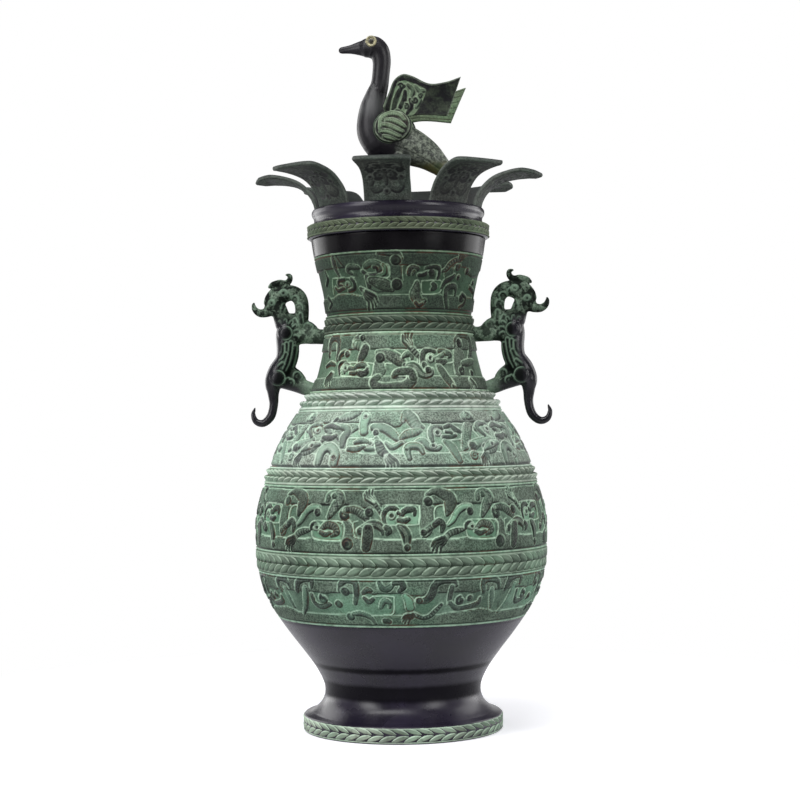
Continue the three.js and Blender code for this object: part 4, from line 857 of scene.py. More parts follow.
def shoulder_band(r):
    r.strap(2.4, 9.8)
    r.strap(31.4, 39)
    r.bar([(-17.1, 39.2), (1.9, 38.9), (3.6, 34), (-1.5, 26.8), (-9.5, 31.3), (-15.6, 32.9)])
    r.bar([(12.5, 38.8), (45.5, 38.6), (41.4, 31), (15.2, 30.2)])
    r.bar([(43.9, 31), (51.4, 31), (45.5, 20.5), (42.3, 12.5), (36.9, 11.2), (39, 19.3)])
    r.bar([(-37.4, 13.3), (-32.9, 12), (-26.2, 10.3), (-14, 9.6), (-7.2, 2.8), (-35.2, 2.5)])
    r.bar([(4.6, 7.2), (12.7, 9.5), (25.6, 9.3), (31, 4.5), (30.1, 2.9), (2.4, 2.9)])
    r.bar([(38.6, 10), (49.4, 10.3), (48.1, 2.6), (38.5, 2.5)])
    r.bar([(-77.8, 39), (-52.3, 39.2), (-48.2, 35.9), (-49.6, 32), (-69.2, 32.3)])
    r.bar([(-73.1, 9.9), (-51.9, 10.4), (-51, 3.4), (-72.2, 3)])
    r.bar([(-44.5, 30.7), (-27, 30.5), (-26.2, 27.9), (-35.8, 20.9), (-41.1, 21.6)])
    r.rim([(-32.6, 13.3), (-33, 19.6), (-29.7, 20.7), (-14.2, 20)], closed=False)
    r.rim([(17.2, 19), (20, 29.9), (23.8, 30.4), (41, 30), (42.6, 27.6), (39.5, 19.8), (27.8, 18.6)],
        closed=False)
    r.rim([(-67.2, 19.2), (-73.2, 29.9), (-68.5, 31.5), (-49.2, 31.3)], closed=False)
    r.rim([(-16.9, 38.1), (-17.5, 32.9), (-14.9, 31.6)], closed=False)
    r.striped([(-45.5, 32.5, 0.7), (-40.3, 34.8, 2), (-34, 37.3, 2.9), (-27.6, 40.1, 0.9)], 0.3, 2)
    r.limb([(-45.7, 34.3, 1.1), (-48.2, 30.5, 0.9), (-50.4, 26.6, 0.4)], 0.8)
    r.limb([(-24.9, 37.7, 2.2), (-23.7, 34.3, 3.3), (-23.9, 29.8, 2.8), (-23.2, 25, 2.6)], 0.2)
    r.pit(-24, 35.9, 1, 0.7)
    r.striped([(1.8, 32.7, 1.3), (4.6, 37.4, 2.8), (7.6, 33.7, 3.7), (10.3, 29.2, 3), (14.3, 27.9, 0.9)],
        0.3, 2)
    r.ball(-34.4, 24.6, 2.4)
    r.striped([(-41.1, 27.8, 2), (-40.7, 24.2, 2.6), (-38, 20.8, 2)], 0.3, 2)
    r.limb([(-17.1, 28, 2.2), (-10.9, 27.4, 2.6), (-5.8, 24, 2.6), (-1.7, 19.9, 1.7), (1.5, 18.4, 0.6)],
        0.3)
    r.ball(-15.5, 24.4, 1.6)
    r.striped([(0.6, 20.4, 0.9), (4.4, 23.1, 2.2), (8.9, 24.1, 2), (12.7, 25.3, 0.7)], 0.3, 1.9)
    r.limb([(-8.8, 17.2, 0.8), (-4.7, 14.2, 1.4), (0.6, 17.1, 0.9)], 0.3)
    r.pit(-18.3, 16.8, 1.1, 0.9)
    r.limb([(-14.8, 20.5, 0.9), (-13.1, 17.2, 1.1), (-15.3, 13.6, 1), (-20, 13, 0.9), (-22.1, 14.1, 0.5)],
        0.35)
    r.limb([(-27.8, 17.6, 0.9), (-24, 18.9, 1.6), (-20.1, 18, 0.9)], 0.35)
    r.limb([(-31.2, 13.3, 1.3), (-26.4, 13.1, 1.6), (-21.7, 15, 0.8)], 0.4)
    r.claw(-7.3, 8.9, 292, 1.15, 1, [(-11, 12, 2.6), (-12.6, 15.9, 2.2), (-14.4, 17.9, 1.1)])
    r.limb([(9.1, 17.2, 0.9), (13.3, 18.3, 1.9), (16.7, 14.4, 1.9), (21.6, 13, 1.3), (23.7, 14.3, 0.9)],
        0.3)
    r.pit(19.6, 15, 1, 0.8)
    r.limb([(27.9, 27.5, 1.1), (22.6, 27.6, 1.3), (19.6, 25.8, 1.5), (18.9, 21.4, 1.5),
        (19.4, 18.4, 0.9)], 0.35)
    r.pit(23.5, 23.7, 1.3, 1)
    r.limb([(29.2, 27.7, 0.9), (33.1, 28.8, 1.1), (36, 26.4, 1.5), (39.3, 24.5, 0.9)], 0.6)
    r.limb([(26.7, 21, 0.9), (30.6, 20.7, 1.2), (35.4, 22, 0.8)], 0.45)
    r.limb([(29.2, 24.6, 0.7), (32.7, 23.8, 0.9)], 0.35)
    r.limb([(27, 17.9, 0.9), (30.2, 15.1, 2.2), (32.5, 10.3, 2.2), (34.5, 5.1, 1.5)], 0.3)
    r.lined([(5, 7.1, 1.1), (3.9, 13, 1.7), (6.7, 15, 1.9), (10.9, 14, 1.7), (12.8, 10.6, 0.9)], 0.3)
    r.pit(3.4, 12.3, 0.9)
    r.limb([(46.2, 34.9, 2.2), (50.7, 37, 2.2), (52.3, 34.4, 1.3)], 0.2)
    r.curl(49.3, 35.5, 2.9, 90, 1, -1, 0.2)
    r.limb([(51.9, 26.5, 1.3), (56.8, 26.2, 2.2), (62.2, 27.2, 0.9)], 0.3)
    r.striped([(45.6, 14.7, 2.8), (50.4, 16.7, 2.2), (55.4, 17.8, 2), (60.6, 19.3, 1.5)], 0.25, 1.9)
    r.ball(45.6, 14.7, 2.4)
    r.ball(54.6, 13.9, 1.9)
    r.claw(54.4, 10.2, 250, 1, -1, [(60.8, 12.2, 2), (65, 15.6, 1.5)])
    r.limb([(75.4, 29.5, 1.6), (85.5, 26.8, 2), (84.3, 20.1, 2.2), (84.5, 15.3, 1.3)], 0.3)
    r.limb([(68.4, 26.9, 0.9), (72.7, 24.2, 1.6), (68.5, 19, 1.1)], 0.3)
    r.limb([(-62.4, 22.2, 1.1), (-66.7, 27, 1.3), (-64.2, 29.8, 1.3), (-57.4, 30, 0.9)], 0.4)
    r.pit(-58.3, 26.1, 1.2, 0.9)
    r.limb([(-53.3, 28.2, 0.9), (-48.7, 29.4, 1.5), (-42.2, 27.8, 1.1)], 0.5)
    r.limb([(-51.8, 21.4, 1), (-45.9, 20.8, 1.6), (-42, 22.6, 0.9)], 0.55)
    r.limb([(-66.8, 12, 0.7), (-60.7, 15.2, 2.2), (-53.4, 16.6, 1.1)], 0.3)
    r.pit(-58.9, 15.7, 1.2, 0.6)
    r.lined([(-50.3, 4.5, 2), (-49.2, 12, 2.6), (-44.4, 14.5, 2.6), (-39.7, 10.4, 2.8),
        (-39.2, 4.5, 2.4)], 0.2)
    r.pit(-40.3, 8.1, 1.2, 0.7)
    r.curl(-75.6, 8, 2.5, 40, 1.15, 1, 0.2)


def neck_band(r):
    r.strap(2.2, 9.4)
    r.strap(27.4, 36.2)
    r.bar([(-22.8, 36.1), (-2.7, 35.9), (-2, 30.8), (1.4, 27.1), (-20.8, 27.5), (-23.4, 29.3),
        (-21.1, 31.8)])
    r.bar([(8.1, 35.9), (41.6, 36.4), (38.7, 27.6), (12.1, 27), (8.1, 29.7)])
    r.bar([(39.6, 29.1), (49.8, 26.7), (45.7, 12), (36.9, 9.2), (36.8, 17.8)])
    r.bar([(28.2, 9.2), (46.6, 9.4), (44.2, 2.5), (32.5, 2.2)])
    r.bar([(9.2, 9), (21.6, 8.7), (24.8, 2.4), (8.7, 1.8)])
    r.bar([(-44, 9.8), (-17.6, 9.4), (-16.2, 2.6), (-44.8, 2.2)])
    r.bar([(-15.1, 19.9), (-8.7, 17.8), (-8.6, 11.9), (-12.9, 6.8), (-16.9, 6.9), (-16.4, 17.3)])
    r.bar([(-43.6, 37.3), (-33.7, 36.5), (-34.7, 27), (-43, 22.1), (-43.7, 32.6)])
    r.rim([(-15.8, 25.8), (-10.4, 26.9), (1.4, 26.8), (6.6, 25.5)], closed=False)
    r.rim([(10.6, 9.8), (11.7, 23.5), (13.6, 27), (36.7, 27.6), (38.2, 25.1), (37.1, 19.2), (27.9, 17.8)],
        closed=False)
    r.rim([(-39.2, 10.7), (-40.7, 18.1), (-37.8, 19.3), (-18.1, 18.3), (-16.6, 16), (-17.2, 10.8),
        (-19.4, 9.3)])
    r.rim([(-8.5, 14.6), (-8.9, 17.8), (-5.1, 17.8)], closed=False)
    r.limb([(-55.8, 23.9, 0.9), (-57.4, 30.6, 1.7), (-55.8, 34.5, 2.1), (-50.9, 36, 2.2),
        (-46.6, 33.4, 1.7), (-45.8, 28.1, 1.3), (-45.7, 21.5, 0.9)], 0.55, 0.7)
    r.limb([(-43.4, 22.1, 0.8), (-42.5, 24.7, 1), (-39, 26.4, 0.8)], 0.6)
    r.ball(-36.8, 24.7, 1.8)
    r.limb([(-31, 29.5, 1.4), (-30.3, 32.8, 2), (-28.1, 35.1, 1.9), (-25.6, 35.6, 1.4)], 0.45, 1)
    r.striped([(-30.2, 30.5, 2.3), (-26.1, 29.4, 2.8), (-23, 27.6, 2.5)], 0.3, 2.2)
    r.limb([(-23, 28, 2.3), (-24.2, 24.7, 2.5), (-25.9, 21.2, 1.8)], 0.55, 1)
    r.ball(-25.4, 34.7, 1.8)
    r.limb([(-40.9, 12.4, 0.6), (-42.2, 16.8, 0.9), (-41, 19.1, 0.9), (-37, 19.8, 0.5)], 0.7)
    r.limb([(-36.9, 12.9, 0.5), (-38.3, 16.3, 0.8), (-36.2, 18, 0.8), (-33.7, 17.6, 0.5)], 0.6)
    r.pit(-36.4, 15.5, 1, 1)
    r.limb([(-33.3, 15.8, 0.9), (-29.7, 14.4, 1.4), (-27.2, 16.7, 1.4), (-23.5, 17.4, 1.4),
        (-20.4, 15.7, 0.8)], 0.45)
    r.limb([(-26.4, 12.6, 1.3), (-23.3, 11.5, 1.8), (-20.9, 13, 1.4), (-20.3, 15.1, 0.5)], 0.9)
    r.limb([(-32.5, 12.5, 0.5), (-29.4, 12, 0.8), (-27.3, 12.9, 0.5)], 0.6)
    r.scaled([(-14.4, 25.1, 0.9), (-9, 24.5, 2), (-4.5, 22.6, 2.9), (-0.3, 19.7, 2.8), (3.6, 16.8, 1.3)],
        0.5, 1.8)
    r.ball(-12.4, 21.7, 2.9)
    r.limb([(2.3, 22, 0.8), (4.6, 23.7, 1.4), (7.3, 23.3, 1.4), (7.8, 20.9, 0.8)], 0.35)
    r.ball(3.6, 16.5, 1.5)
    r.claw(7.1, 28, 108, 1.1, 1, [(8.9, 26.1, 1.6), (11.1, 23.8, 1.5), (12.8, 21.9, 1.1)])
    r.limb([(23.5, 25.5, 0.8), (19.4, 25.9, 1.1), (15.8, 25.3, 1.3), (14.7, 22.2, 1.3),
        (14.4, 17.8, 1.3)], 0.8)
    r.ball(15.5, 17.1, 1.4)
    r.pit(20.1, 21.2, 1.3, 1.3)
    r.limb([(26.5, 26, 0.8), (29.4, 25.5, 1.4), (32.7, 24.7, 1.7), (35, 23.5, 1.3), (33.4, 22.1, 0.5)],
        0.45)
    r.limb([(22.5, 20.4, 1), (25.3, 21, 1.4), (28.3, 22.8, 1.1), (30, 24.2, 0.6)], 0.35)
    r.limb([(24.3, 19.3, 0.8), (27.3, 18.6, 1.7), (30.9, 19.5, 0.9)], 0.6)
    r.lined([(5.4, 16.6, 1), (8.5, 16.3, 2), (10.9, 13.8, 2.4), (12.9, 11.1, 1.9), (16, 10, 1.3),
        (19.1, 11.3, 1.3), (20, 13.8, 0.8)], 0.5, (-0.3, 0.3))
    r.ball(17.8, 13.7, 1.9)
    r.limb([(24.1, 16.5, 0.5), (26.3, 14.1, 2), (28.9, 9.2, 2.4), (31.7, 4.4, 1.9), (32.6, 2.6, 0.9)],
        0.4, 0.5)
    r.ball(32.9, 3.3, 0.9)
    r.limb([(40, 29.1, 0.6), (42.4, 33.7, 1.2), (49.7, 36.4, 1.4), (57.4, 35.3, 2.1),
        (59.2, 29.7, 2.3), (56.4, 24.3, 1.9), (53.4, 21.7, 0.9)], 0.45, 0.8)
    r.ball(45.1, 31.2, 2.6)
    r.curl(42.4, 13.6, 2.6, 60, 1, -1, 0.5)
    r.ball(53, 12.2, 1.7)
    r.limb([(45, 18, 1.3), (50.9, 18.8, 1.9), (58.1, 19.7, 1.3)], 0.35)
    r.claw(48.3, 8.1, 290, 0.9, 1)
    r.limb([(-13, 9.4, 1.5), (-15.4, 6.8, 2.2), (-13.6, 3.5, 2.5), (-8.4, 2.3, 2.6), (-2.5, 2.7, 2.8),
        (2.8, 3.3, 2.8), (6.6, 6.5, 2.8), (7.3, 10.5, 2.5)], 0.6, 0.3)
    r.limb([(-3.5, 9.8, 1.3), (-1.8, 12.1, 1.8), (2.4, 13.1, 2), (6.6, 12.4, 2.1), (7.9, 9.1, 2.1)], 0.5)
    r.line([(-2.5, 8.8), (0.5, 10), (2.9, 9.2)], half=1)
    r.claw(-48.2, 13, 250, 1, -1)
    r.limb([(-57.1, 17.3, 0.8), (-52.3, 19.1, 1.2), (-47.3, 18.3, 0.8)], 0.5)


def top_band(r):
    r.strap(3.6, 11.6)
    r.strap(30.6, 39.2)
    r.bar([(-23.6, 38.6), (-5.6, 37.9), (-5.1, 31.1), (-12.4, 31.4), (-15.3, 33.4), (-20.7, 32.6),
        (-24.3, 31.1)])
    r.bar([(3.2, 37.8), (41.8, 39.2), (35, 34.5), (31.1, 29.5), (27, 29.8), (19.2, 31.2), (3.7, 31)])
    r.bar([(-5.4, 32.2), (1.5, 31.6), (1.7, 23.8), (1, 20.9), (-4.8, 20.9), (-5.6, 26.6)])
    r.bar([(-51, 14), (-27.2, 12.9), (-21.2, 7.4), (-20.4, 4.2), (-50.4, 5.4)])
    r.bar([(-12.9, 11.6), (5.6, 11.4), (9.1, 6.8), (12, 3.7), (-11.6, 3.6)])
    r.bar([(22.2, 11.8), (30.9, 12.4), (32.5, 4.1), (18.8, 3.7)])
    r.bar([(53.2, 38.9), (62.9, 39.8), (75.4, 26.3), (51.1, 24.7), (51.7, 32.2)])
    r.bar([(31.1, 29.3), (36.6, 30.4), (36.8, 23.5), (31.2, 21.5), (29.6, 27)])
    r.rim([(2.8, 21), (2.1, 26.5), (3.2, 30.5), (16.9, 30.8)], closed=False)
    r.rim([(-51, 14.4), (-49.2, 22.8), (-46.2, 24.3), (-29.4, 23.6)], closed=False)
    r.rim([(14.9, 13.7), (14.4, 19.7), (15.9, 20.6), (25.8, 21.3), (28.3, 20), (28.1, 14),
        (21.2, 12.4), (16.2, 12.3)])
    r.rim([(-9.5, 31.2), (-5.9, 30.4), (-6.1, 23.2), (-13, 23)], closed=False)
    r.limb([(-44.8, 38.9, 0.9), (-44.2, 34.8, 1.5), (-43.6, 30.1, 1.4), (-41.2, 24.9, 0.6)], 0.6, 1)
    r.line([(-41.7, 39.2), (-38.2, 33.4), (-34.1, 29)], half=0.5)
    r.limb([(-26.1, 29.8, 1.1), (-31.1, 30.6, 1.4), (-33.5, 28.4, 1.2), (-31, 26.3, 0.6)], 0.4)
    r.limb([(-31.6, 23.1, 0.8), (-29.9, 20.5, 0.9), (-30.3, 16.9, 0.9), (-34.8, 15.5, 0.8)], 0.8)
    r.pit(-35.3, 19.5, 0.8, 0.8)
    r.limb([(-37.7, 23, 0.7), (-42.3, 22.6, 0.9), (-43.4, 20.2, 0.9), (-40.1, 19, 0.6)], 0.75)
    r.limb([(-47.3, 18, 0.7), (-44.9, 16.1, 0.8), (-41.1, 17.1, 0.7), (-38.8, 17.4, 0.5)], 0.75)
    r.limb([(-22.7, 27.2, 0.9), (-19.9, 24.8, 0.9), (-14.7, 24.6, 1.1), (-10.9, 26.4, 0.9)], 0.6)
    r.limb([(-20.8, 30, 1.2), (-16.9, 32.1, 1.7), (-12.5, 31.6, 1.5), (-10.6, 29.1, 1.2),
        (-12.7, 27.1, 0.8)], 0.35, 0.3)
    r.limb([(-15.5, 29.7, 0.6), (-13.6, 29.2, 0.7), (-13.2, 27.8, 0.5)], 0.9)
    r.limb([(-12.9, 23.9, 0.6), (-9, 25.1, 0.9), (-8.1, 28.9, 0.9), (-9.5, 31.2, 0.5)], 0, level=0.8)
    r.limb([(-12, 38.5, 0.8), (-6.3, 37.9, 1.2), (-1.2, 37.7, 1.7), (1.3, 34.8, 0.9)], 0.6, 0.5)
    r.ball(-1.7, 33.7, 2.9)
    r.limb([(-20.3, 23.6, 1.2), (-19.6, 20.9, 1.4), (-19.4, 17.9, 1.2)], 0.9)
    r.scaled([(-17.8, 21.5, 1.5), (-13.2, 19.8, 3), (-8.6, 18.2, 3.2), (-4.6, 16, 1.7)], 0.65, 1.7)
    r.ball(-1.2, 18.5, 3.2)
    r.line([(-3.3, 15.2), (-13.4, 13.9), (-19.8, 16.4)], half=0.4)
    r.claw(-22.6, 14.3, 308, 1.25, 1, [(-24.1, 15.5, 1.1), (-25.6, 16.7, 0.6)])
    r.limb([(11.5, 28.3, 1.1), (8.1, 28.3, 1.8), (6.4, 25.7, 1.2), (6, 24.5, 0.6)], 0.8)
    r.limb([(9.6, 26.5, 0.6), (8.8, 24.9, 0.6)], 0.3, level=0.7)
    r.limb([(12.6, 24.2, 0.8), (15.5, 24.6, 0.9), (17.6, 25.8, 0.8), (19.1, 26.9, 0.6)], 0.85)
    r.ball(20.8, 26, 2)
    r.limb([(17, 28.7, 0.7), (21.7, 29.6, 0.9), (25.3, 28.9, 1.1), (26.1, 25.3, 0.9), (25.3, 22.5, 0.6)],
        0.75)
    r.claw(40.7, 35.2, 52, 0.95, 1, [(36.6, 34, 1.4), (33.3, 31.7, 1.4), (30.7, 28.4, 1.1),
        (28.5, 27.2, 0.6)])
    r.curl(39.9, 30.4, 2.1, 30, 1, -1, 0.7)
    r.ball(50.3, 28.2, 2)
    r.ball(42, 23.8, 1.4)
    r.limb([(28.9, 17, 0.6), (31.3, 20.9, 1.1), (35.5, 22.9, 1.2), (38.2, 25.1, 0.6)], 0.5)
    r.scaled([(11.6, 19.4, 0.9), (11.2, 15.9, 2), (10.6, 11.4, 3), (14.4, 7.2, 1.7), (17.1, 8.4, 0.8)],
        0.5, 1.7)
    r.limb([(11, 7.1, 0.8), (13.1, 5.2, 0.9), (15.7, 6.4, 0.6)], 0.8)
    r.limb([(22.4, 18.8, 1.1), (23.9, 17, 1.5), (21.9, 15.5, 0.8)], 0.95, level=0.5)
    r.limb([(34.3, 5, 1.1), (32.8, 10.3, 1.4), (32.8, 15.6, 1.5), (36, 17.8, 1.5), (40.4, 17.5, 1.4),
        (41.1, 13, 0.8)], 0.75)
    r.ball(47.8, 11, 2.3)
    r.limb([(48.2, 13.6, 0.8), (53.2, 11.3, 0.9), (51.4, 7.2, 0.8), (46.2, 5.4, 0.5)], 0.75)
    r.ball(60.9, 21.2, 1.9)
    r.limb([(57, 18.5, 0.9), (65.2, 16, 1.1), (66.7, 11.4, 0.8)], 0.5)
    r.limb([(-59.7, 12.7, 0.9), (-55.1, 9.2, 1.1), (-60, 5.7, 0.8)], 0.5)
    r.pit(-55.3, 27.2, 0.7)
    r.limb([(-56.3, 29.6, 0.6), (-54.9, 24.8, 0.9), (-59.1, 20.4, 0.6)], 0.5)


# The vessel

def wall_points(low, high, rows, sink=0.0):
    """(radius, height) points along the outer wall, set back by sink."""
    return [(r - sink * nr, z - sink * nz) for r, z, nr, nz in wall.path(low, high, rows)]


def vessel_profile():
    """From the axis under the floor, round the foot and up the wall, over the mouth and down inside."""
    foot = [(0, 30.0), (44.2, 30.0), (46.2, 28.4), (46.6, 24), (48.2, 18.4), (54.6, 12.2), (55.2, 10),
            (55.3, 1.2), (56.2, 0.2), (63.6, 0.2), (64.2, 0.8), (64.2, 10.0), (63.2, 10.9), (59.6, 11.6),
            (58.9, 12.3)]
    outside = (wall_points(13.2, LOW_BAND_Z - 0.4, 30) + wall_points(LOW_BAND_Z, MOUTH_BAND_Z, 150, BAND_SINK)
               + wall_points(MOUTH_BAND_Z + 0.4, LIP_Z, 8, 0.5))
    lip = [(56.5, 315.8), (55.9, 316.0), (54.2, 316.0), (53.6, 315.6)]
    return foot + outside + lip + wall_points(36, 314.6, 70, WALL)[::-1] + [(40, 34.0), (0, 34.0)]


def make_mouth():
    """The plain black band under the lip: a closed sleeve over the shell."""
    outside = wall_points(MOUTH_BAND_Z + 0.2, LIP_Z, 24)
    skin = [(56.7, 315.8), (55.9, 316.05), (54.6, 316.05)] + [(r - 1.2, z) for r, z in outside[::-1]]
    piece("mouth_band", ring_points(outside + skin), ring_faces(len(outside + skin), ROUND), "vessel",
          "black_bronze", MOUTH_FINISH)


# Across a leaf of a rope border, from its lower edge to its upper one
LEAF_HEIGHTS = (0, 0.30, 0.56, 0.74, 0.84, 0.88, 0.92, 1, 0.62)
# LEAF_RIMS is a pale rim, partly wear and partly a painted highlight on the upper edge; LEAF_SHADES and LEAF_HOLLOWS
# are painted shade, darkest at the low lower edge
LEAF_RIMS = (0, 0, 0, 0.05, 0.1, 0.05, 0.15, 0.95, 0.6)
LEAF_SHADES = (1, 0.9, 0.6, 0.35, 0.2, 0.15, 0.15, 0, 0)
LEAF_HOLLOWS = (1, 0.75, 0.35, 0.1, 0, 0.1, 0.3, 0, 0.1)
LEAF_PHASE = 0.75               # where a border's first leaf stands, in steps past the front
# Across the bed that the leaves lie on: shares of its height, and the values there
BED_SHARES = (0, 0.07, 0.14, 0.25, 0.75, 0.86, 0.93, 1)
BED_HEIGHTS = (-0.3, 0.5, 0.2, -0.4, -0.4, 0.2, 0.5, -0.3)
# BED_HOLLOWS is painted shade at the bed's edges and along its middle between the rows of leaves
BED_HOLLOWS = (0.7, 0, 0, 1, 1, 0, 0, 0.7)
BED_ROWS = 15


def leaf_mesh(name, length, width, rise, lean):
    """One leaf of a rope border: a closed pad, pointed at both ends, that lies over the next leaf.

    Its flat back lies in the YZ plane and it stands out along +X. lean turns it about X;
    its pale rim on its upper side is partly wear and partly a painted highlight, and its low lower edge carries
    painted shade.
    """
    along, across = 7, len(LEAF_HEIGHTS)
    t = np.linspace(0, 1, along)[:, None]
    bulge = np.sin(math.pi * (0.05 + 0.90 * t)) ** 0.75
    x = rise * np.array(LEAF_HEIGHTS) * (0.4 + 0.6 * bulge)
    y = (t - 0.5) * length + 0 * x
    z = np.linspace(-1, 1, across) * width / 2 * bulge
    c, s = math.cos(lean), math.sin(lean)
    front = np.stack([x, y * c - z * s, y * s + z * c], axis=-1).reshape(-1, 3) * MM
    inner = np.where((t > 0) & (t < 1), t, 0.5)
    rim = grid_rim(along, across)
    behind = front[rim] * (0, 1, 1) - (MM, 0, 0)
    back = len(front) + np.arange(len(rim))
    faces = grid_faces(along, across, wraps=False)[:, ::-1].tolist()
    faces += np.stack([rim, np.roll(rim, -1), np.roll(back, -1), back], axis=-1).tolist() + [back.tolist()]
    leaf = new_object(name, np.vstack([front, behind]), faces)
    write_fields(leaf.data, {field: np.append(value, np.full(len(rim), edge)) for field, value, edge in (
        ("crest", np.array(LEAF_RIMS) * (1 - 0.3 * t), 0), ("dark", np.array(LEAF_SHADES) * (0.35 + 0.65 * inner), 0),
        ("hollow", np.array(LEAF_HOLLOWS) * (0.4 + 0.6 * inner), 1))})
    return leaf


class Tree:
    """A geometry node tree with named inputs."""

    def __init__(self, name):
        self.tree = bpy.data.node_groups.new(name, "GeometryNodeTree")
        self.inputs = {}
        self.source = self.tree.nodes.new("NodeGroupInput")
        self.sink = self.tree.nodes.new("NodeGroupOutput")
        self.tree.interface.new_socket("Geometry", in_out="OUTPUT", socket_type="NodeSocketGeometry")
        self.start = self.ask("Geometry", "Geometry")

    def ask(self, name, kind):
        made = self.tree.interface.new_socket(name, in_out="INPUT", socket_type="NodeSocket" + kind)
        self.inputs[name] = made.identifier
        return self.source.outputs[name]

    def add(self, kind, values={}, **settings):
        """A new node's first output."""
        node = self.tree.nodes.new(kind)
        for key, value in settings.items():
            setattr(node, key, value)
        for key, value in values.items():
            if isinstance(value, bpy.types.NodeSocket):
                self.tree.links.new(value, node.inputs[key])
            else:
                node.inputs[key].default_value = value
        return node.outputs[0]

    def math(self, operation, a, b):
        return self.add("ShaderNodeMath", {0: a, 1: b}, operation=operation)

    def xyz(self, **values):
        return self.add("ShaderNodeCombineXYZ", values)

    def grow(self, obj, **values):
        """Runs the tree on an object and leaves a plain mesh."""
        modifier = obj.modifiers.new("grow", "NODES")
        modifier.node_group = self.tree
        for name, value in values.items():
            modifier[self.inputs[name.replace("_", " ")]] = value
        return settled(obj)


def rope_tree():
    """Leaves round a ring in two rows that lean towards each other."""
    t = Tree("rope border")
    count, lean, finish = t.ask("Leaves", "Int"), t.ask("Wall lean", "Float"), t.ask("Finish", "Material")
    geometry = [t.start]
    for row in ("Upper", "Lower"):
        leaf, radius, level = (t.ask(row + what, kind) for what, kind in (
            (" leaf", "Object"), (" radius", "Float"), (" height", "Float")))
        ring = t.add("GeometryNodeMeshCircle", {"Vertices": count, "Radius": radius})
        start = t.math("SUBTRACT", t.math("DIVIDE", LEAF_PHASE * 2 * math.pi, count), math.pi / 2)
        placed = t.add("GeometryNodeTransform", {"Geometry": ring, "Rotation": t.xyz(Z=start),
                                                 "Translation": t.xyz(Z=level)})
        spot = t.tree.nodes.new("ShaderNodeSeparateXYZ")
        t.tree.links.new(t.add("GeometryNodeInputPosition"), spot.inputs[0])
        angle = t.math("ARCTAN2", spot.outputs["Y"], spot.outputs["X"])
        pattern = t.tree.nodes.new("GeometryNodeObjectInfo")
        t.tree.links.new(leaf, pattern.inputs["Object"])
        geometry.append(t.add("GeometryNodeInstanceOnPoints", {
            "Points": placed, "Instance": pattern.outputs["Geometry"], "Rotation": t.xyz(Y=lean, Z=angle)}))
    join = t.tree.nodes.new("GeometryNodeJoinGeometry")
    for socket in geometry:
        t.tree.links.new(socket, join.inputs[0])
    real = t.add("GeometryNodeRealizeInstances", {"Geometry": join.outputs[0]})
    painted = t.add("GeometryNodeSetMaterial", {"Geometry": real, "Material": finish})
    t.tree.links.new(painted, t.sink.inputs[0])
    return t


ROPE_TREE = rope_tree()


def make_rope(name, low, high, leaves, finish, at_wall=None, body="vessel", rise=1.35):
    """A rope border between two heights: a closed bed with two rows of leaves on it."""
    path = wall.path(low, high, BED_ROWS) if at_wall is None else np.array(
        [(at_wall, z, 1, 0) for z in np.linspace(low, high, BED_ROWS)])
    share = np.linspace(0, 1, BED_ROWS)
    front = path[:, :2] + path[:, 2:] * np.interp(share, BED_SHARES, BED_HEIGHTS)[:, None]
    behind = path[::-1, :2] - path[::-1, 2:] * 2.2
    obj = new_object(name, ring_points(np.vstack([front, behind])), ring_faces(2 * BED_ROWS, ROUND))
    bead = np.interp(share, (0, 0.05, 0.14, 0.86, 0.95, 1), (0, 1, 0, 0, 1, 0))
    write_fields(obj.data, {field: np.repeat(np.append(values, np.zeros(BED_ROWS)), ROUND) for field, values in (
        ("hollow", np.interp(share, BED_SHARES, BED_HOLLOWS)), ("crest", bead))})
    tall = high - low
    middle = path[BED_ROWS // 2]
    step = 2 * math.pi * middle[0] / leaves
    leaf_lean = math.atan2(tall * 0.30, step * 1.25)
    rows = {}
    for row, turn, at in (("Upper", -leaf_lean, path[10]), ("Lower", leaf_lean, path[4])):
        rows[row + "_leaf"] = leaf_mesh(f"{name}_{row}_leaf", step * 1.42, tall * 0.43, rise, turn)
        rows[row + "_radius"], rows[row + "_height"] = (at[0] - 0.55 * at[2]) * MM, at[1] * MM
    ROPE_TREE.grow(obj, Leaves=leaves, Wall_lean=-math.atan2(-middle[3], middle[2]), Finish=finish, **rows)
    for row in ("Upper", "Lower"):
        bpy.data.meshes.remove(rows[row + "_leaf"].data)
    dress(obj, body, finish)


piece("vessel_shell", *turned(vessel_profile()), "vessel", "black_bronze", BLACK_FINISH, ["vessel_body"])
for band, low, high, size, art, repeats in (
        ("low", LOW_BAND_Z, LOW_ROPE_Z, (138.2, 33.4), low_band, 4),
        ("belly", BELLY_BAND_Z, MIDDLE_ROPE_Z, (98, 42.6, 0.52), belly_band, 6),
        ("shoulder", SHOULDER_BAND_Z, UPPER_ROPE_Z, (120.5, 41.3), shoulder_band, 4),
        ("neck", NECK_BAND_Z, TOP_ROPE_Z, (164.3, 38.3), neck_band, 2),
        ("top", TOP_BAND_Z, MOUTH_BAND_Z, (159.4, 40.1), top_band, 2)):
    carved = Relief(*size)
    art(carved)
    carved.borders()
    sleeve("band_" + band, low, high, carved, repeats, 0.5, BAND_FINISHES[band])
for rope, (low, high), leaves in zip(("low", "middle", "upper", "top"), ROPES, (77, 71, 52, 42)):
    make_rope("rope_" + rope, low, high, leaves, ROPE_FINISHES[rope])
make_rope("rope_foot", 0.3, 10.5, 52, ROPE_FINISHES["foot"], at_wall=63.9)
make_mouth()


# The lid and its petals

RIM_Z = 335.5
PETALS = 8


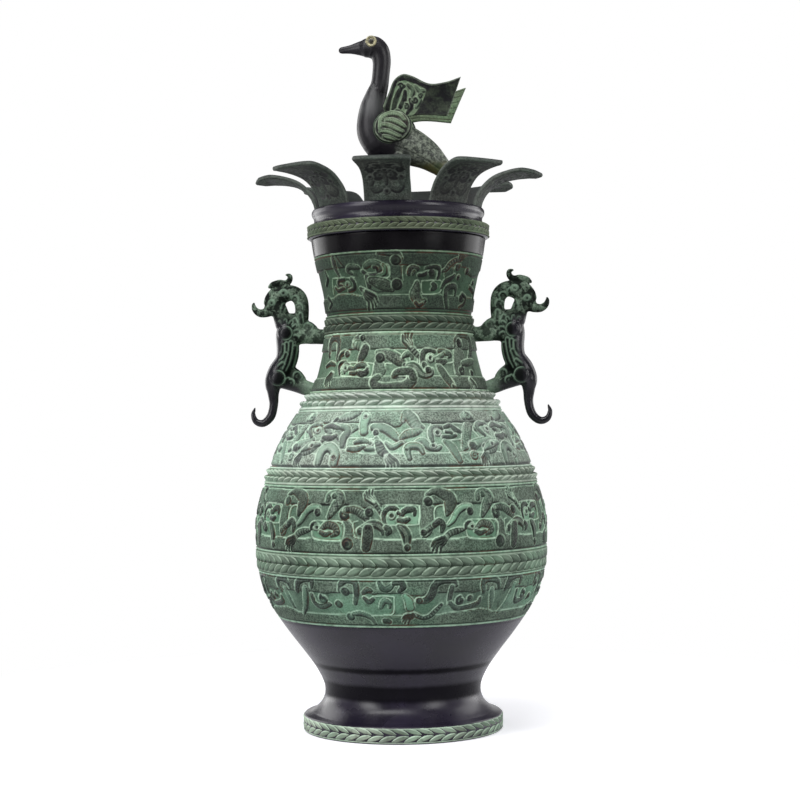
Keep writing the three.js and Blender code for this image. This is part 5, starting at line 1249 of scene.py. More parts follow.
def lid_profile():
    plug = [(r - WALL * nr - 0.9, z) for r, z, nr, _ in wall.path(290.8, 315.8, 14)]
    low = plug[0][0]
    return ([(0, 326.5), (49.4, 326.5), (49.7, 326.1), (low - 3.0, 290.6), (low - 2.6, 290.3), (low - 0.5, 290.3)]
            + plug + [(52.8, 316.3), (57.0, 316.3), (58.2, 316.7), (58.6, 317.4), (58.6, 324.4), (58.0, 325.2),
                      (57.0, 325.5), (55.8, 326.0), (54.9, 326.9), (54.6, 328.2), (54.7, 329.4), (55.2, 330.6),
                      (55.9, 331.6), (56.2, 332.8), (56.1, 334.2), (55.5, 335.2), (54.9, 335.5), (54.75, 335.2),
                      (54.75, 331.4), (51.25, 331.4), (51.25, 335.2), (51.0, 335.5), (50.2, 335.5), (49.7, 335.1),
                      (49.6, 330.4), (49.0, 329.6), (48.2, 329.5), (0, 329.5)])


def petal_relief():
    """The sunk panel on a petal's outer face: a strip of masks at the tip, and scrolls below it."""
    r = Relief(40, 60, 0.5, wraps=False, left=-20)
    r.paint(r.inside([(-11.5, 7), (-13.6, 50), (0, 52.4), (13.6, 50), (11.5, 7)]), -0.75, grain=1.0, gap=0)

    def strip(points, level=0.0, **finish):
        r.stroke(points, 0.1, 0.6, level, floor=-0.8, gap=0.55, line=0.35, **finish)

    strip([(-12.4, 42.6, 0.5), (0, 44, 0.5), (12.4, 42.6, 0.5)], dome=0)
    for side in (-1, 1):
        def curl(x, y, size, angle, turns, hand, thick, dark, level):
            r.curl(side * x, y, size, angle if side > 0 else 180 - angle, turns, hand * side, dark, thick, level)

        curl(3.6, 47.0, 2.2, 0, 1.0, 1, 0.36, 0.4, 0.0)
        strip([(side * 6.4, 46.4, 1.2), (side * 9.2, 47.4, 1.3), (side * 11.6, 46, 0.7)], 0.05)
        curl(4.2, 31.6, 3.5, 60, 1.1, 1, 0.32, 0.35, 0.05)
        curl(4.6, 22.6, 3.4, -60, 1.1, -1, 0.32, 0.35, 0.05)
        curl(9.4, 27.2, 2.6, 20, 1.0, 1, 0.34, 0.35, 0.0)
        strip([(side * 11.2, 40, 0.6), (side * 10.4, 34, 0.9), (side * 11.2, 31, 0.5)], -0.05)
        strip([(side * 2, 12.4, 1.2), (side * 6.6, 10.6, 1.4), (side * 9.6, 13.6, 1.0), (side * 8.2, 17.4, 0.6)])
        strip([(side * 3.4, 38.4, 0.7), (side * 6.8, 39.4, 0.8), (side * 9, 37.4, 0.5)])
    strip([(0, 36, 0.8), (0, 33, 1.1), (0, 19.6, 0.9), (0, 15, 0.6)], 0.05)
    for x, y, size in ((0, 40.4, 0.9), (0, 27, 1.2), (-9.6, 20.6, 1.1), (9.6, 20.6, 1.1), (0, 10, 1.2),
                       (-3.4, 26.6, 1.0), (3.4, 26.6, 1.0), (-3.2, 22.2, 0.9), (3.2, 22.2, 0.9),
                       (-6.8, 31.4, 0.9), (6.8, 31.4, 0.9)):
        r.pit(x, y, size, 0.5, -1.1)
    return r


def plate_size(middle):
    """The way along a plate's middle line, and its width at each row."""
    return lengths(middle[:, middle.shape[1] // 2]), np.linalg.norm(np.diff(middle, axis=1), axis=2).sum(axis=1)


def slab(name, middle, thick, slot, material, outside, inside=None, round_edge=1.0, wear_and_highlight=0.9):
    """A curved plate from a grid of middle points (mm), with rounded edges.

    outside and inside are the height, darkness, grain, crest and hollow of its two faces.
    """
    rows, columns = middle.shape[:2]
    normal = np.cross(np.gradient(middle, axis=1), np.gradient(middle, axis=0))
    normal /= np.linalg.norm(normal, axis=2, keepdims=True)
    length, width = plate_size(middle)
    t = np.linspace(0, 1, columns)
    edge = np.minimum(np.minimum(t, 1 - t) * width[:, None], np.minimum(length, length[-1] - length)[:, None])
    bevel = np.sqrt(1 - (1 - np.clip(edge / round_edge, 0, 1)) ** 2)
    half = thick / 2 * (0.3 + 0.7 * bevel)
    faces_of = [outside, inside or [np.zeros_like(edge)] * 5]
    verts = [middle + way * normal * (half + values[0] * bevel)[..., None] for way, values in zip((1, -1), faces_of)]
    faces, count = grid_faces(rows, columns, wraps=False), rows * columns
    rim = grid_rim(rows, columns)
    after = np.roll(rim, -1)
    faces = np.vstack([faces, faces[:, ::-1] + count, np.stack([after, rim, rim + count, after + count], axis=1)])
    fields = {field: np.append(*(values[k + 1] for values in faces_of)) for k, field in enumerate(FIELDS)}
    fields["crest"] = np.maximum(fields["crest"], np.tile(np.where(edge < round_edge * 0.8, wear_and_highlight, 0.0).ravel(), 2))
    piece(name + "_dressed", np.vstack(verts).reshape(-1, 3) * MM, faces, "lid", slot, material, [name], fields)


def make_petals():
    rows, columns = 96, 64
    line = through([(53, 331.5), (53, RIM_Z), (54.24, 341.05), (57.76, 347.04), (64.18, 352.8), (72.87, 356.1),
                    (83.64, 357.6), (94.3, 355.9)], 24)
    run = lengths(line)
    s = np.linspace(0, 1, rows)[:, None]
    across = np.linspace(-1, 1, columns)[None, :]
    corner = smooth((np.abs(across) - 0.74) / 0.26) * 2.4
    way = s * (run[-1] - (4.6 * np.abs(across) + corner) * smooth((s - 0.5) / 0.5))
    r, z = np.interp(way, run, line[:, 0]), np.interp(way, run, line[:, 1])
    width = (30 + 6.3 * smooth((s - 0.3) / 0.6)) * (1 - 0.17 * smooth((s - 0.84) / 0.16) ** 2)
    bend = 53 + 53 * s
    turn = across * width / 2 / bend
    x, y = r - bend * (1 - np.cos(turn)), bend * np.sin(turn)
    length, wide = plate_size(np.stack([x, y, z], axis=-1))
    carved = petal_relief().sample(across / 2 * wide[:, None] * MM, length[:, None] * MM + 0 * across)
    for k, a in enumerate(-math.pi / 2 + round_angles(PETALS)):
        c, q = math.cos(a), math.sin(a)
        slab(f"petal_{k + 1}", np.stack([x * c - y * q, x * q + y * c, z], axis=-1), 2.5, "petal_bronze",
             PETAL_FINISH, carved, round_edge=0.7, wear_and_highlight=0.5)


PETAL_FINISH = patina("dark bronze of the petals", (0.034, 0.036, 0.036), (0.115, 0.125, 0.110),
                      (0.006, 0.006, 0.007), (0.20, 0.23, 0.20), (0.003, 0.004, 0.003), rust=0.3, edge_share=0.6)
LID_ROPE_FINISH = patina("olive bronze of the lid's border", (0.13, 0.16, 0.095), (0.075, 0.09, 0.055),
                         (0.035, 0.042, 0.026), (0.30, 0.35, 0.25), (0.008, 0.010, 0.008), rust=0.2, edge_share=0.7)
piece("lid_dressed", *turned(lid_profile()), "lid", "black_bronze", BLACK_FINISH, ["lid_body"])
make_petals()
make_rope("rope_lid", 317.0, 325.0, 66, LID_ROPE_FINISH, at_wall=58.9, body="lid", rise=0.9)


# The handles: a long-tailed beast that looks out and away from the vessel

HOOK_X, HOOK_Z = 48.72, 254.0     # where the upper strut leaves the wall
SHOULDER, HAUNCH = (25.4, 2.8), (30.8, -26.6)


def beast_parts():
    """Closed limbs that overlap; points are (out, up, radius) from where the upper strut leaves the wall."""
    def limb(points, slender=0.9):
        return tube([(HOOK_X + x, 0, HOOK_Z + z, r) for x, z, r in points], slender=slender)

    return [
        limb([(26.2, 9, 5.4), (25.7, 1.2, 7.2), (24.9, -8, 7.5), (26.2, -15.4, 7.2), (31, -22.8, 7.4),
              (34.6, -29.6, 6.1), (35, -36, 4), (34.8, -44, 3), (36.8, -51.6, 2.9), (41.8, -56.0, 2.5),
              (46.6, -54.8, 2.1), (48.5, -50.2, 1.6), (47.3, -46, 0.7)]),
        limb([(23.4, 2.4, 5.4), (17.1, 8.6, 5.0), (15.3, 17.4, 4.6), (16.7, 25.4, 4.9), (22, 29.2, 5.1),
              (29.2, 27.2, 5.4), (34.0, 22.8, 4.9), (35.6, 17.8, 3.6)]),
        limb([(32, 23, 4.8), (29.8, 16.4, 5.3), (27.6, 9, 5.8)]),
        limb([(34.0, 19.4, 4.2), (39.0, 16.8, 3.2), (43.4, 16.4, 2.6), (46.6, 18.6, 2.0), (47.6, 21.4, 1.4),
              (47.4, 22.8, 0.9)]),
        limb([(37.0, 33.4, 1.1), (34.6, 35.0, 1.9), (30, 36.0, 2.2), (26.6, 35.6, 2.1), (24.0, 36.8, 2.0),
              (23.0, 39.2, 1.8), (23.6, 40.8, 1.4), (25.4, 41.2, 0.9)], slender=1.0),
        limb([(21.4, 31.4, 2.4), (27, 31.2, 2.8), (33.4, 30.0, 3.0), (37.4, 26.6, 2.4), (39.2, 23.0, 1.7)]),
        limb([(17.4, 9.6, 4.0), (21.6, 12.4, 3.6), (26.4, 11.6, 3.6)]),
        limb([(-3, 0.4, 5.4), (3, 0.2, 4.9), (8, 0.9, 5.5), (14, 1.0, 5.3), (20, 0.8, 5.8)]),
        limb([(8.0, 5.4, 2.9), (11, 7.0, 3.5), (14, 7.6, 3.1)]),
        limb([(5.5, -35.5, 5.0), (9.5, -34.3, 4.7), (14, -32.9, 5.0), (19, -31.0, 5.1), (29, -27, 6.2)]),
        limb([(15.4, -27.2, 2.2), (18.0, -24.9, 3.0), (22, -22, 3.2)]),
        limb([(35.8, 25.2, 2.2), (38.6, 20.6, 1.8), (38.6, 16.6, 1.5)]),
    ] + [ball(HOOK_X + x, side * y, HOOK_Z + z, *size) for side in (-1, 1) for x, y, z, size in (
        (25.4, 5.2, 2.8, (5.4, 1.9, 5.4)), (30.6, 5.4, -26.6, (5.8, 1.9, 5.8)),
        (26.8, 3.2, 29.2, (2.4, 1.5, 1.5, 0.4)), (34.4, 2.6, 22.6, (2.6, 1.6, 2.6)))]


def beast_relief():
    """Engraving on the flat of a handle, in its own X and Z."""
    r = Relief(64, 108, 0.3, wraps=False, left=40, low=190)
    X, Z = HOOK_X, HOOK_Z

    def path(points, half=0.35):
        r.line([(X + x, Z + z) for x, z in points], -0.75, half, 0.1)

    def strip(points, dark=0.9):
        r.stroke([(X + x, Z + z, w) for x, z, w in points], dark, level=0.35, floor=-0.6, gap=0.5, dome=0.8)

    def curl(x, z, size, start, turns, hand, dark=0.5, level=0.35, thick=0.3):
        r.curl(X + x, Z + z, size, start, turns, hand, dark, thick, level)

    # Rings round the shoulder and the haunch
    for (x, z), radius in ((SHOULDER, 4.5), (HAUNCH, 5.0)):
        dx, dz = r.offset((X + x) * MM, (Z + z) * MM)
        dist = np.hypot(dx, dz) / MM
        ring = smooth(1 - np.abs(dist - radius) / 0.55)
        disc = smooth((radius - 0.9 - dist) / 0.5)
        r.h += 0.45 * disc - 0.4 * ring
        r.wear_and_highlight(ring)
        r.dark = np.maximum(r.dark, disc)
    # Fret down the flank
    for points in ([(19.4, -6.6, 0.9), (20.4, -13, 0.9), (22.2, -18.6, 0.9)],
                   [(21.8, -3.6, 0.8), (22.6, -10, 0.8), (24.2, -16, 0.9), (26.4, -21, 0.8)],
                   [(24.6, -4.4, 0.8), (24.8, -8.6, 0.8)], [(25.2, -11, 0.8), (26.8, -14.2, 0.8), (29, -15.6, 0.7)],
                   [(27.0, -5.6, 0.8), (27.4, -9.6, 0.8), (29, -12, 0.7)], [(27.4, -17.4, 0.8), (30, -19.4, 0.9)]):
        strip(points)
    for points in ([(18.0, -4), (18.8, -12), (20.8, -20)], [(20.4, -3), (21.4, -11), (23.4, -18.8)],
                   [(23.4, -2.8), (23.8, -9), (25.8, -16), (28.4, -20.4)], [(30.2, -4.4), (30.2, -12), (32, -17)]):
        path(points)
    # Curls and dots of the neck
    curl(17.0, 19.4, 2.1, 200, 1.1, -1)
    curl(19.0, 24.6, 2.2, 250, 1.1, 1)
    curl(24.4, 27.0, 1.9, 20, 1.0, 1)
    strip([(15.2, 10.2, 0.9), (15.6, 14.6, 0.9)], 0.8)
    strip([(17.8, 7.4, 0.8), (19.6, 11.4, 0.8)], 0.8)
    path([(13.4, 12), (14.6, 8.4), (18.6, 4.4)])
    for a in np.radians(200 - 28 * np.arange(6)):
        strip([(SHOULDER[0] + d * math.cos(a), SHOULDER[1] + d * math.sin(a), w)
               for d, w in ((6.6, 0.55), (8.2, 0.45))], 0.8)
    # Eye, cheek and mouth
    r.pit(X + 26.8, Z + 29.0, 1.25, 0.7, -0.35, 0.0)
    r.pit(X + 34.8, Z + 22.6, 1.1, 0.6, -0.6, 0.8)
    path([(29.6, 25.4), (31.6, 21.4), (33.6, 18.0), (38.2, 16.2), (41.4, 16.6)], 0.4)
    strip([(26.8, 21.2, 0.8), (27.4, 18.6, 0.8)], 0.7)
    # Bands round the struts, and their curls
    for x in (2.6, 8.6, 14.8):
        path([(x, -5), (x + 0.4, 0), (x, 5)], 0.45)
    curl(11.0, 7.0, 2.3, 180, 1.1, 1, 0.6, 0.3)
    for x, z in ((9.4, -34.6), (13.0, -33.6), (16.6, -32.2)):
        path([(x - 1.2, z + 5), (x + 0.4, z), (x + 1.4, z - 5)], 0.45)
    curl(18.2, -25.0, 2.3, 200, 1.2, 1, 0.5, 0.3)
    curl(22.8, -29.6, 2.6, 60, 1.3, -1, 0.4, 0.3, 0.26)
    return r


def trim_to_wall(obj):
    """Draws what would stand inside the wall out to just under its skin."""
    co = read_points(obj.data)
    reach = (wall.radius(co[:, 2] / MM) - 0.9) * MM
    co[:, :2] *= np.maximum(1, reach / np.maximum(np.hypot(co[:, 0], co[:, 1]), 1e-6))[:, None]
    write_points(obj.data, co)


def handle_finish():
    """Green and dark on the inner side, rubbed near-black along the back and the tail."""
    f = Finish("engraved bronze of the handles")
    x, _, z = f.xyz()
    out = f.math("ABSOLUTE", x)
    cloud = f.noise(60, 4, 0.6)
    speck = f.noise(700, 3, 0.7)
    # The back runs along a slanted line: bare metal outside it
    level = f.times(f.math("SUBTRACT", z, 0.24), 0.22)
    edge = f.plus(f.plus(out, level), f.times(cloud, 0.006))
    bare = f.math("MAXIMUM", f.span(edge, 0.0795, 0.0835), f.span(z, 0.226, 0.219))
    bare = f.times(bare, f.span(z, 0.268, 0.262))
    head = f.times(f.span(z, 0.262, 0.274), 0.75)
    blotch = f.span(f.noise(190, 4, 0.65), 0.44, 0.56, 1.0, 0.04)
    share = f.times(f.math("MAXIMUM", f.span(out, 0.073, 0.064), head), blotch)
    flecks = f.mix(f.span(speck, 0.4, 0.65), (0.10, 0.15, 0.105), (0.24, 0.32, 0.24))
    green = f.mix(share, (0.004, 0.006, 0.005), flecks)
    green = f.mix(f.field("dark", 0.95), green, (0.003, 0.004, 0.004))
    green = f.mix(f.field("hollow", 0.85), green, (0.26, 0.39, 0.28))
    green = f.mix(f.field("crest", 0.8), green, (0.24, 0.36, 0.26))
    black = f.mix(f.span(cloud, 0.4, 0.7), (0.005, 0.005, 0.008), (0.014, 0.013, 0.019))
    black = f.mix(f.field("hollow", 0.7), black, (0.12, 0.18, 0.13))
    root = f.times(f.span(out, 0.068, 0.059), f.span(speck, 0.3, 0.6, 0.45, 0.8))
    root = f.times(root, f.span(z, 0.228, 0.238, 1.0, 0.2))
    color = f.mix(root, f.mix(bare, green, black), (0.24, 0.34, 0.25))
    rough = f.math("SUBTRACT", 0.60, f.times(bare, 0.36))
    return f.done(color, rough, f.bump(speck, 0.00012), specular=f.span(bare, 0.0, 1.0, 0.08, 0.45))


HANDLE_FINISH = handle_finish()
carved = beast_relief()
for side in ("right", "left"):
    handle = melted(f"{side}_handle_dressed", beast_parts(), 0.55, 5)
    trim_to_wall(handle)
    engrave(handle, carved, 0.1)
    if side == "left":
        handle.data.transform(Matrix.Rotation(math.pi, 4, "Z"))
    dress(handle, "vessel", HANDLE_FINISH, [f"{side}_handle"])


# The crane

CRANE_X, CRANE_Z = 2.0, 381.0     # the middle of its back, over the legs
PAD_X, PAD_Z = CRANE_X - 3.6, CRANE_Z + 7.6
PAD_TURN = 0.25
NECK = [(-20.5, 61.6, 6.4), (-16.8, 61.7, 7.4), (-13.2, 58.8, 6.7), (-11.7, 52.6, 6.0), (-12.2, 44.8, 5.7),
        (-13.3, 36.8, 5.9), (-15.6, 29.8, 7.1), (-17.3, 22, 9.0), (-17.7, 13.2, 10.6), (-17.0, 6.0, 11.3),
        (-14.0, -0.5, 11.0)]
BODY = [(-16, 4.4, 10.4), (-11.0, 2.4, 12.4), (-4, 0.0, 13.0), (6, -3.8, 12.3), (16.6, -9.4, 9.9),
        (24.4, -15.8, 7.3), (28.2, -19.6, 5.9)]
BEAK = [(-38.0, 60.6, 2.2), (-32.4, 61.0, 2.9), (-26.6, 61.4, 4.5), (-20, 61.6, 6.5)]
WING_TOP = [(-8.9, 19.8), (-5, 29), (-1.9, 36.4), (3.6, 40.2), (10, 38.8), (21, 33.4), (32, 34), (41.6, 36.8)]
WING_LOW = [(-7, 10), (4, 13), (12.4, 14.4), (20, 14.2), (27, 13.4), (32, 12.8)]


def crane_relief():
    """Feather lines along the flank, collar marks on the neck, and the line of the bill."""
    r = Relief(84, 100, 0.4, wraps=False, left=-40, low=352)

    def path(points, half=0.35, cut=-0.5):
        r.line([(CRANE_X + x, CRANE_Z + z) for x, z in points], cut, half)

    for lift in (0, 2.6, 5.2):
        path([(2, 8.4 - lift * 1.4), (12, 4.4 - lift * 1.3), (20, -2.6 - lift), (27.4, -12 - lift * 0.6)])
    path([(-2, -5), (8, -9), (18, -14.6), (26, -20)], 0.4)
    path([(-39, 60.1), (-32, 61.2), (-24, 62.0)], 0.3, -0.35)
    path([(-19.4, 32.4), (-16.6, 34.2), (-13.6, 35.0)], 0.3, -0.15)
    for x, z in ((-18.8, 34.8), (-11.0, 31.0), (-16.2, 36.6)):
        r.pit(CRANE_X + x, CRANE_Z + z, 0.7, level=-0.4, dark=0.3)
    return r


def crane_finish():
    """Black on head and neck, grey on the flanks, olive below the tail."""
    f = Finish("bronze of the crane")
    x, _, z = f.xyz()
    cloud = f.noise(70, 5, 0.62)
    streak = f.noise(110, 4, 0.6, stretch=(1, 1, 0.3))
    black = f.mix(f.span(cloud, 0.4, 0.7), (0.007, 0.006, 0.009), (0.020, 0.018, 0.024))
    grey = f.mix(f.span(f.noise(420, 3, 0.7), 0.42, 0.62), (0.045, 0.052, 0.044), (0.22, 0.25, 0.20))
    grey = f.mix(f.span(cloud, 0.5, 0.62, 0.0, 0.7), grey, (0.03, 0.034, 0.03))
    color = f.mix(f.span(f.plus(x, f.times(cloud, 0.012)), 0.002, 0.014), black, grey)
    chest = f.times(f.span(z, 0.392, 0.404), f.span(z, 0.424, 0.412))
    color = f.mix(f.times(chest, f.span(streak, 0.4, 0.6, 0.0, 0.5)), color, (0.10, 0.105, 0.105))
    low = f.times(f.span(z, 0.368, 0.362), f.span(x, 0.0, 0.008))
    color = f.mix(low, color, f.mix(f.span(cloud, 0.4, 0.6), (0.10, 0.095, 0.03), (0.05, 0.07, 0.03)))
    color = f.mix(f.field("hollow", 0.7), color, (0.03, 0.04, 0.03))
    color = f.mix(f.field("crest", 0.35), color, (0.24, 0.26, 0.22))
    return f.done(color, f.span(cloud, 0.3, 0.7, 0.36, 0.50), f.bump(f.noise(1200, 3, 0.6), 0.00006), specular=0.4)


def wing_middle(side, rows, columns):
    """The wing's middle surface: rows run from its front edge to its tip, columns from top to bottom."""
    u, t = np.linspace(0, 1, rows)[:, None], np.linspace(0, 1, columns)[None, :]
    edges = []
    for points in (WING_TOP, WING_LOW):
        line = through(points, 16)
        run = lengths(line)
        edges.append([np.interp(u * run[-1], run, line[:, k]) for k in (0, 1)])
    x, z = (top * (1 - t) + low * t for top, low in zip(*edges))
    out = 9.6 + 9 * (0.6 * (1 - t) ** 1.5 + 0.4 * u)
    return np.stack([CRANE_X + x, side * out, CRANE_Z + z], axis=-1)


def wing_relief():
    """Scrolls on the fore part of a wing, a dark rim, and a plain tip; in X and Z."""
    r = Relief(62, 50, 0.4, wraps=False, left=-16, low=378)
    X, Z = CRANE_X, CRANE_Z
    r.dark[:] = 0.9
    r.paint(r.inside([(X + x, Z + z) for x, z in (
        (-6.6, 9), (-5.2, 22), (-0.6, 35), (4.2, 37), (9.6, 35.4), (19.6, 30.6), (18.4, 26), (12.6, 16.4),
        (8, 12))]), -0.7, grain=0.3, gap=0)
    for points, dark in (([(-3.4, 18, 1.0), (-1.6, 24, 1.4), (1.2, 30, 1.2), (4.6, 33.4, 0.8)], 0.7),
                         ([(1.4, 20, 1.0), (4.2, 24.6, 1.5), (5.2, 29.6, 1.0)], 0.8),
                         ([(7.2, 33.6, 0.8), (10.4, 30.4, 1.3), (9.6, 26.4, 1.0)], 0.2),
                         ([(12.4, 32.2, 0.8), (15, 29.2, 1.2), (17.6, 29.4, 0.7)], 0.2),
                         ([(6.2, 16.2, 0.9), (9, 20.6, 1.3), (8.2, 24.6, 0.9)], 0.5),
                         ([(12.2, 19.6, 0.8), (14.6, 23.6, 1.2), (14.2, 27, 0.8)], 0.1)):
        r.stroke([(X + x, Z + z, w) for x, z, w in points], dark, level=0.25, floor=-0.75, gap=0.5, dome=0.8)
    for x, z, size, start, hand in ((2.6, 33.0, 2.0, 150, -1), (-0.6, 16.0, 2.2, 60, 1), (5.6, 20.4, 1.8, 100, -1),
                                    (11.6, 24.2, 2.0, 200, 1), (15.4, 26.4, 1.5, 30, 1)):
        r.curl(X + x, Z + z, size, start, 1.0, hand, 0.5, 0.32, 0.25, 0.35)
    return r


def pad_relief():
    """Ridged scrolls on the swelling at the root of a wing."""
    r = Relief(34, 32, 0.35, wraps=False, left=-18, low=372)
    dx, dz = (d / MM for d in r.offset(PAD_X * MM, PAD_Z * MM))
    c, s = math.cos(PAD_TURN), math.sin(PAD_TURN)
    dist = np.hypot((dx * c + dz * s) / 12.6, (-dx * s + dz * c) / 11.0)
    ring = smooth(1 - np.abs(dist - 0.9) / 0.055)
    r.h += 0.5 * ring - 0.6 * smooth(1 - np.abs(dist - 0.80) / 0.04)
    r.dark[:] = 0.6
    r.wear_and_highlight(0.9 * ring)
    for points in ([(-7.6, -1.4, 0.9), (-6.6, 4.6, 1.3), (-1.6, 7.8, 1.5), (4.6, 6.8, 1.2), (8, 3.4, 0.8)],
                   [(-3.6, 3.6, 0.9), (0.8, 3.0, 1.4), (5.6, 0.6, 1.3), (8.4, -1.4, 0.8)],
                   [(-6.0, 0.6, 0.8), (-1.6, -0.4, 1.4), (3.4, -2.8, 1.3), (7.0, -4.4, 0.8)],
                   [(-7.4, -3.6, 0.9), (-3.0, -4.0, 1.4), (1.6, -6.0, 1.3), (5.0, -7.4, 0.8)],
                   [(-5.2, -7.0, 0.9), (-1.2, -8.2, 1.1), (2.2, -9.4, 0.7)]):
        r.striped([(PAD_X + x, PAD_Z + z, w) for x, z, w in points], 0.1, 1.5, 0.3, grain=0.3, level=0.7,
                  floor=-0.5, gap=0.5, dome=1.4)
    return r


def make_wing(side, name):
    rows, columns = 120, 70
    middle = wing_middle(side, rows, columns)
    carved = wing_relief().sample(middle[..., 0] * MM, middle[..., 2] * MM)
    u, t = np.linspace(0, 1, rows)[:, None], np.linspace(0, 1, columns)[None, :]
    ribs = 0.35 * smooth(1 - np.abs(((t * 6) % 1) - 0.5) / 0.14) * smooth((u - 0.25) / 0.1)
    flat = np.zeros_like(ribs)
    # The ribs' grooves get hollow, which the wing's patina darkens as painted shade
    ribbed = [-ribs, flat, flat + 0.6, flat, ribs * 2]
    outside, inside = (carved, ribbed) if side < 0 else (ribbed, carved)
    slab(f"crane_{name}_wing", middle, 2.3, "wing_bronze", WING_FINISH, outside, inside, 0.9, 0.25)


def make_pad(side, name):
    """The swelling at the root of a wing."""
    rows, columns = 90, 120
    a = np.linspace(0.02, math.pi - 0.02, rows)[:, None]
    b = round_angles(columns)
    p = np.stack([np.cos(a) * 12.7 + 0 * b, np.sin(a) * np.cos(b) * 4.5, np.sin(a) * np.sin(b) * 11.1], axis=-1)
    verts = (turned_about_y(p, -PAD_TURN).reshape(-1, 3) + (PAD_X, side * 11.4, PAD_Z)) * MM
    obj = new_object(f"crane_{name}_wing_pad", verts, [face[::-1] for face in lidded_faces(rows, columns)])
    engrave(obj, pad_relief(), 0.35)
    dress(obj, "lid", WING_FINISH)


def make_leg(side, name):
    foot, top = 331.0, CRANE_Z - 9.5
    x, y = CRANE_X, side * 6.5
    parts = [tube([(x + dx, y, foot + (top - foot) * share + lift, r) for dx, share, lift, r in (
        (0, 0, 0.2, 2.0), (1.0, 0.22, 0, 1.5), (1.6, 0.42, 0, 1.6), (2.6, 0.56, 0, 2.3), (1.9, 0.72, 0, 2.2),
        (0.4, 0.88, 0, 3.2), (0, 1, 0, 4.2))], sides=18)]
    for angle in (math.pi - 0.42, math.pi, math.pi + 0.42, 0.0):
        reach = 11.0 if angle else 7.5
        parts.append(tube([(x + math.cos(angle) * d * reach, y + math.sin(angle) * d * reach, 330.9 + up, r)
                           for d, up, r in ((0, 0.9, 1.3), (0.35, 0.5, 1.15), (0.6, 0.3, 1.3), (0.85, -0.2, 0.9),
                                            (1, -0.6, 0.4))], sides=12, flat_way=(0, 0, 1)))
    obj = melted(f"crane_{name}_leg_dressed", parts, 0.4, 3)
    write_fields(obj.data, {})
    dress(obj, "lid", CRANE_FINISH, [f"crane_{name}_leg"])


def make_eye(side, name):
    """A raised gilt ring round a domed eye."""
    verts, faces = turned([(0, -1.6), (2.85, -1.6), (3.05, -1.2), (3.1, 0.1), (2.9, 0.5), (2.5, 0.62), (2.1, 0.5),
                           (1.85, 0.15), (1.6, 0.1), (1.2, 0.36), (0.7, 0.52), (0, 0.56)], 40)
    turn = Matrix.Rotation(-side * math.pi / 2, 3, "X")
    verts = verts * (1.2, 1.2, 1.0) @ np.array(turn).T
    radius = np.hypot(verts[:, 0], verts[:, 2]) / 1.2
    verts += np.array([CRANE_X - 17.6, side * 7.1, CRANE_Z + 64.4]) * MM
    piece(f"crane_{name}_eye_dressed", verts, faces, "lid", "eye_gilt", EYE_FINISH, [f"crane_{name}_eye"],
          {"dark": smooth((0.0017 - radius) / 0.0004)})


def eye_finish():
    f = Finish("gilt of the eyes")
    cloud = f.noise(700, 3, 0.6)
    gilt = f.mix(f.span(cloud, 0.35, 0.65), (0.42, 0.38, 0.22), (0.22, 0.21, 0.14))
    color = f.mix(f.field("dark"), gilt, (0.035, 0.032, 0.025))
    return f.done(color, f.span(cloud, 0.3, 0.7, 0.32, 0.5), f.bump(cloud, 0.00004), metallic=0.3)


CRANE_FINISH = crane_finish()
EYE_FINISH = eye_finish()
WING_FINISH = patina("bronze of the wings", (0.22, 0.32, 0.20), (0.13, 0.16, 0.09), (0.005, 0.005, 0.007),
                     (0.34, 0.43, 0.30), (0.008, 0.010, 0.007), rust=0.25, edge_share=0.75)
PINNED_FINISH = black_bronze("plain bronze of rivets and washers", (0.10, 0.07, 0.035), 0.38, green=0.5)
crane = melted("crane_dressed", [tube([(CRANE_X + x, 0, CRANE_Z + z, r) for x, z, r in points], sides, slender)
                                 for points, sides, slender in ((NECK, 28, 1), (BODY, 28, 0.95), (BEAK, 20, 0.8))],
               0.55, 4)
engrave(crane, crane_relief(), 0.0)
dress(crane, "lid", CRANE_FINISH, ["crane_body"])
for side, name in ((-1, "right"), (1, "left")):
    for make in (make_wing, make_pad, make_leg, make_eye):
        make(side, name)
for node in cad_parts.values():
    if not node.hide_render:
        node.data.materials.clear()
        node.data.materials.append(PINNED_FINISH)


# The room, the lights and the camera

FLOOR_SIZE = 6.0                 # half of its width, in metres
FLOOR_SHADOW = 0.42              # metres from the axis to where the floor is plain white
FLOOR_GLOW = 0.45
FLOOR_REFLECTION = 1.0           # share of its glow that the floor gives in reflections
GLOW_CENTRE = (0, 1.2, 0)        # the spot behind the object round which the floor shows in reflections
GLOW_REACH = (1.46, 1.62)        # and how far from it that fades out
CARD_GLOW = 1.0
CARD_RADIUS, CARD_HEIGHT, CARD_STEPS = 2.2, 0.42, 24
ROOM_LIGHT = 0.28
ROOM_REFLECTION = 0.10
LIGHT_AIM = Vector((0, 0, 0.24))
CAMERA_DISTANCE, CAMERA_HEIGHT = 1.134, 0.1927
CAMERA_AZIMUTH, CAMERA_PITCH, CAMERA_ROLL = np.radians((7, 0.985, -0.6)).tolist()


def distance_from(f, point):
    node = f.node("VectorMath", {"operation": "DISTANCE"})
    f.put(node.inputs[0], f.at)
    f.put(node.inputs[1], point)
    return node.outputs["Value"]


def show_two(f, share, first, second):
    """Shows one shader or the other, by a share."""
    both = f.node("MixShader")
    for socket, value in zip(both.inputs, (share, first, second)):
        f.put(socket, value)
    f.put(f.nodes["Material Output"].inputs["Surface"], both.outputs[0])
    return f.material


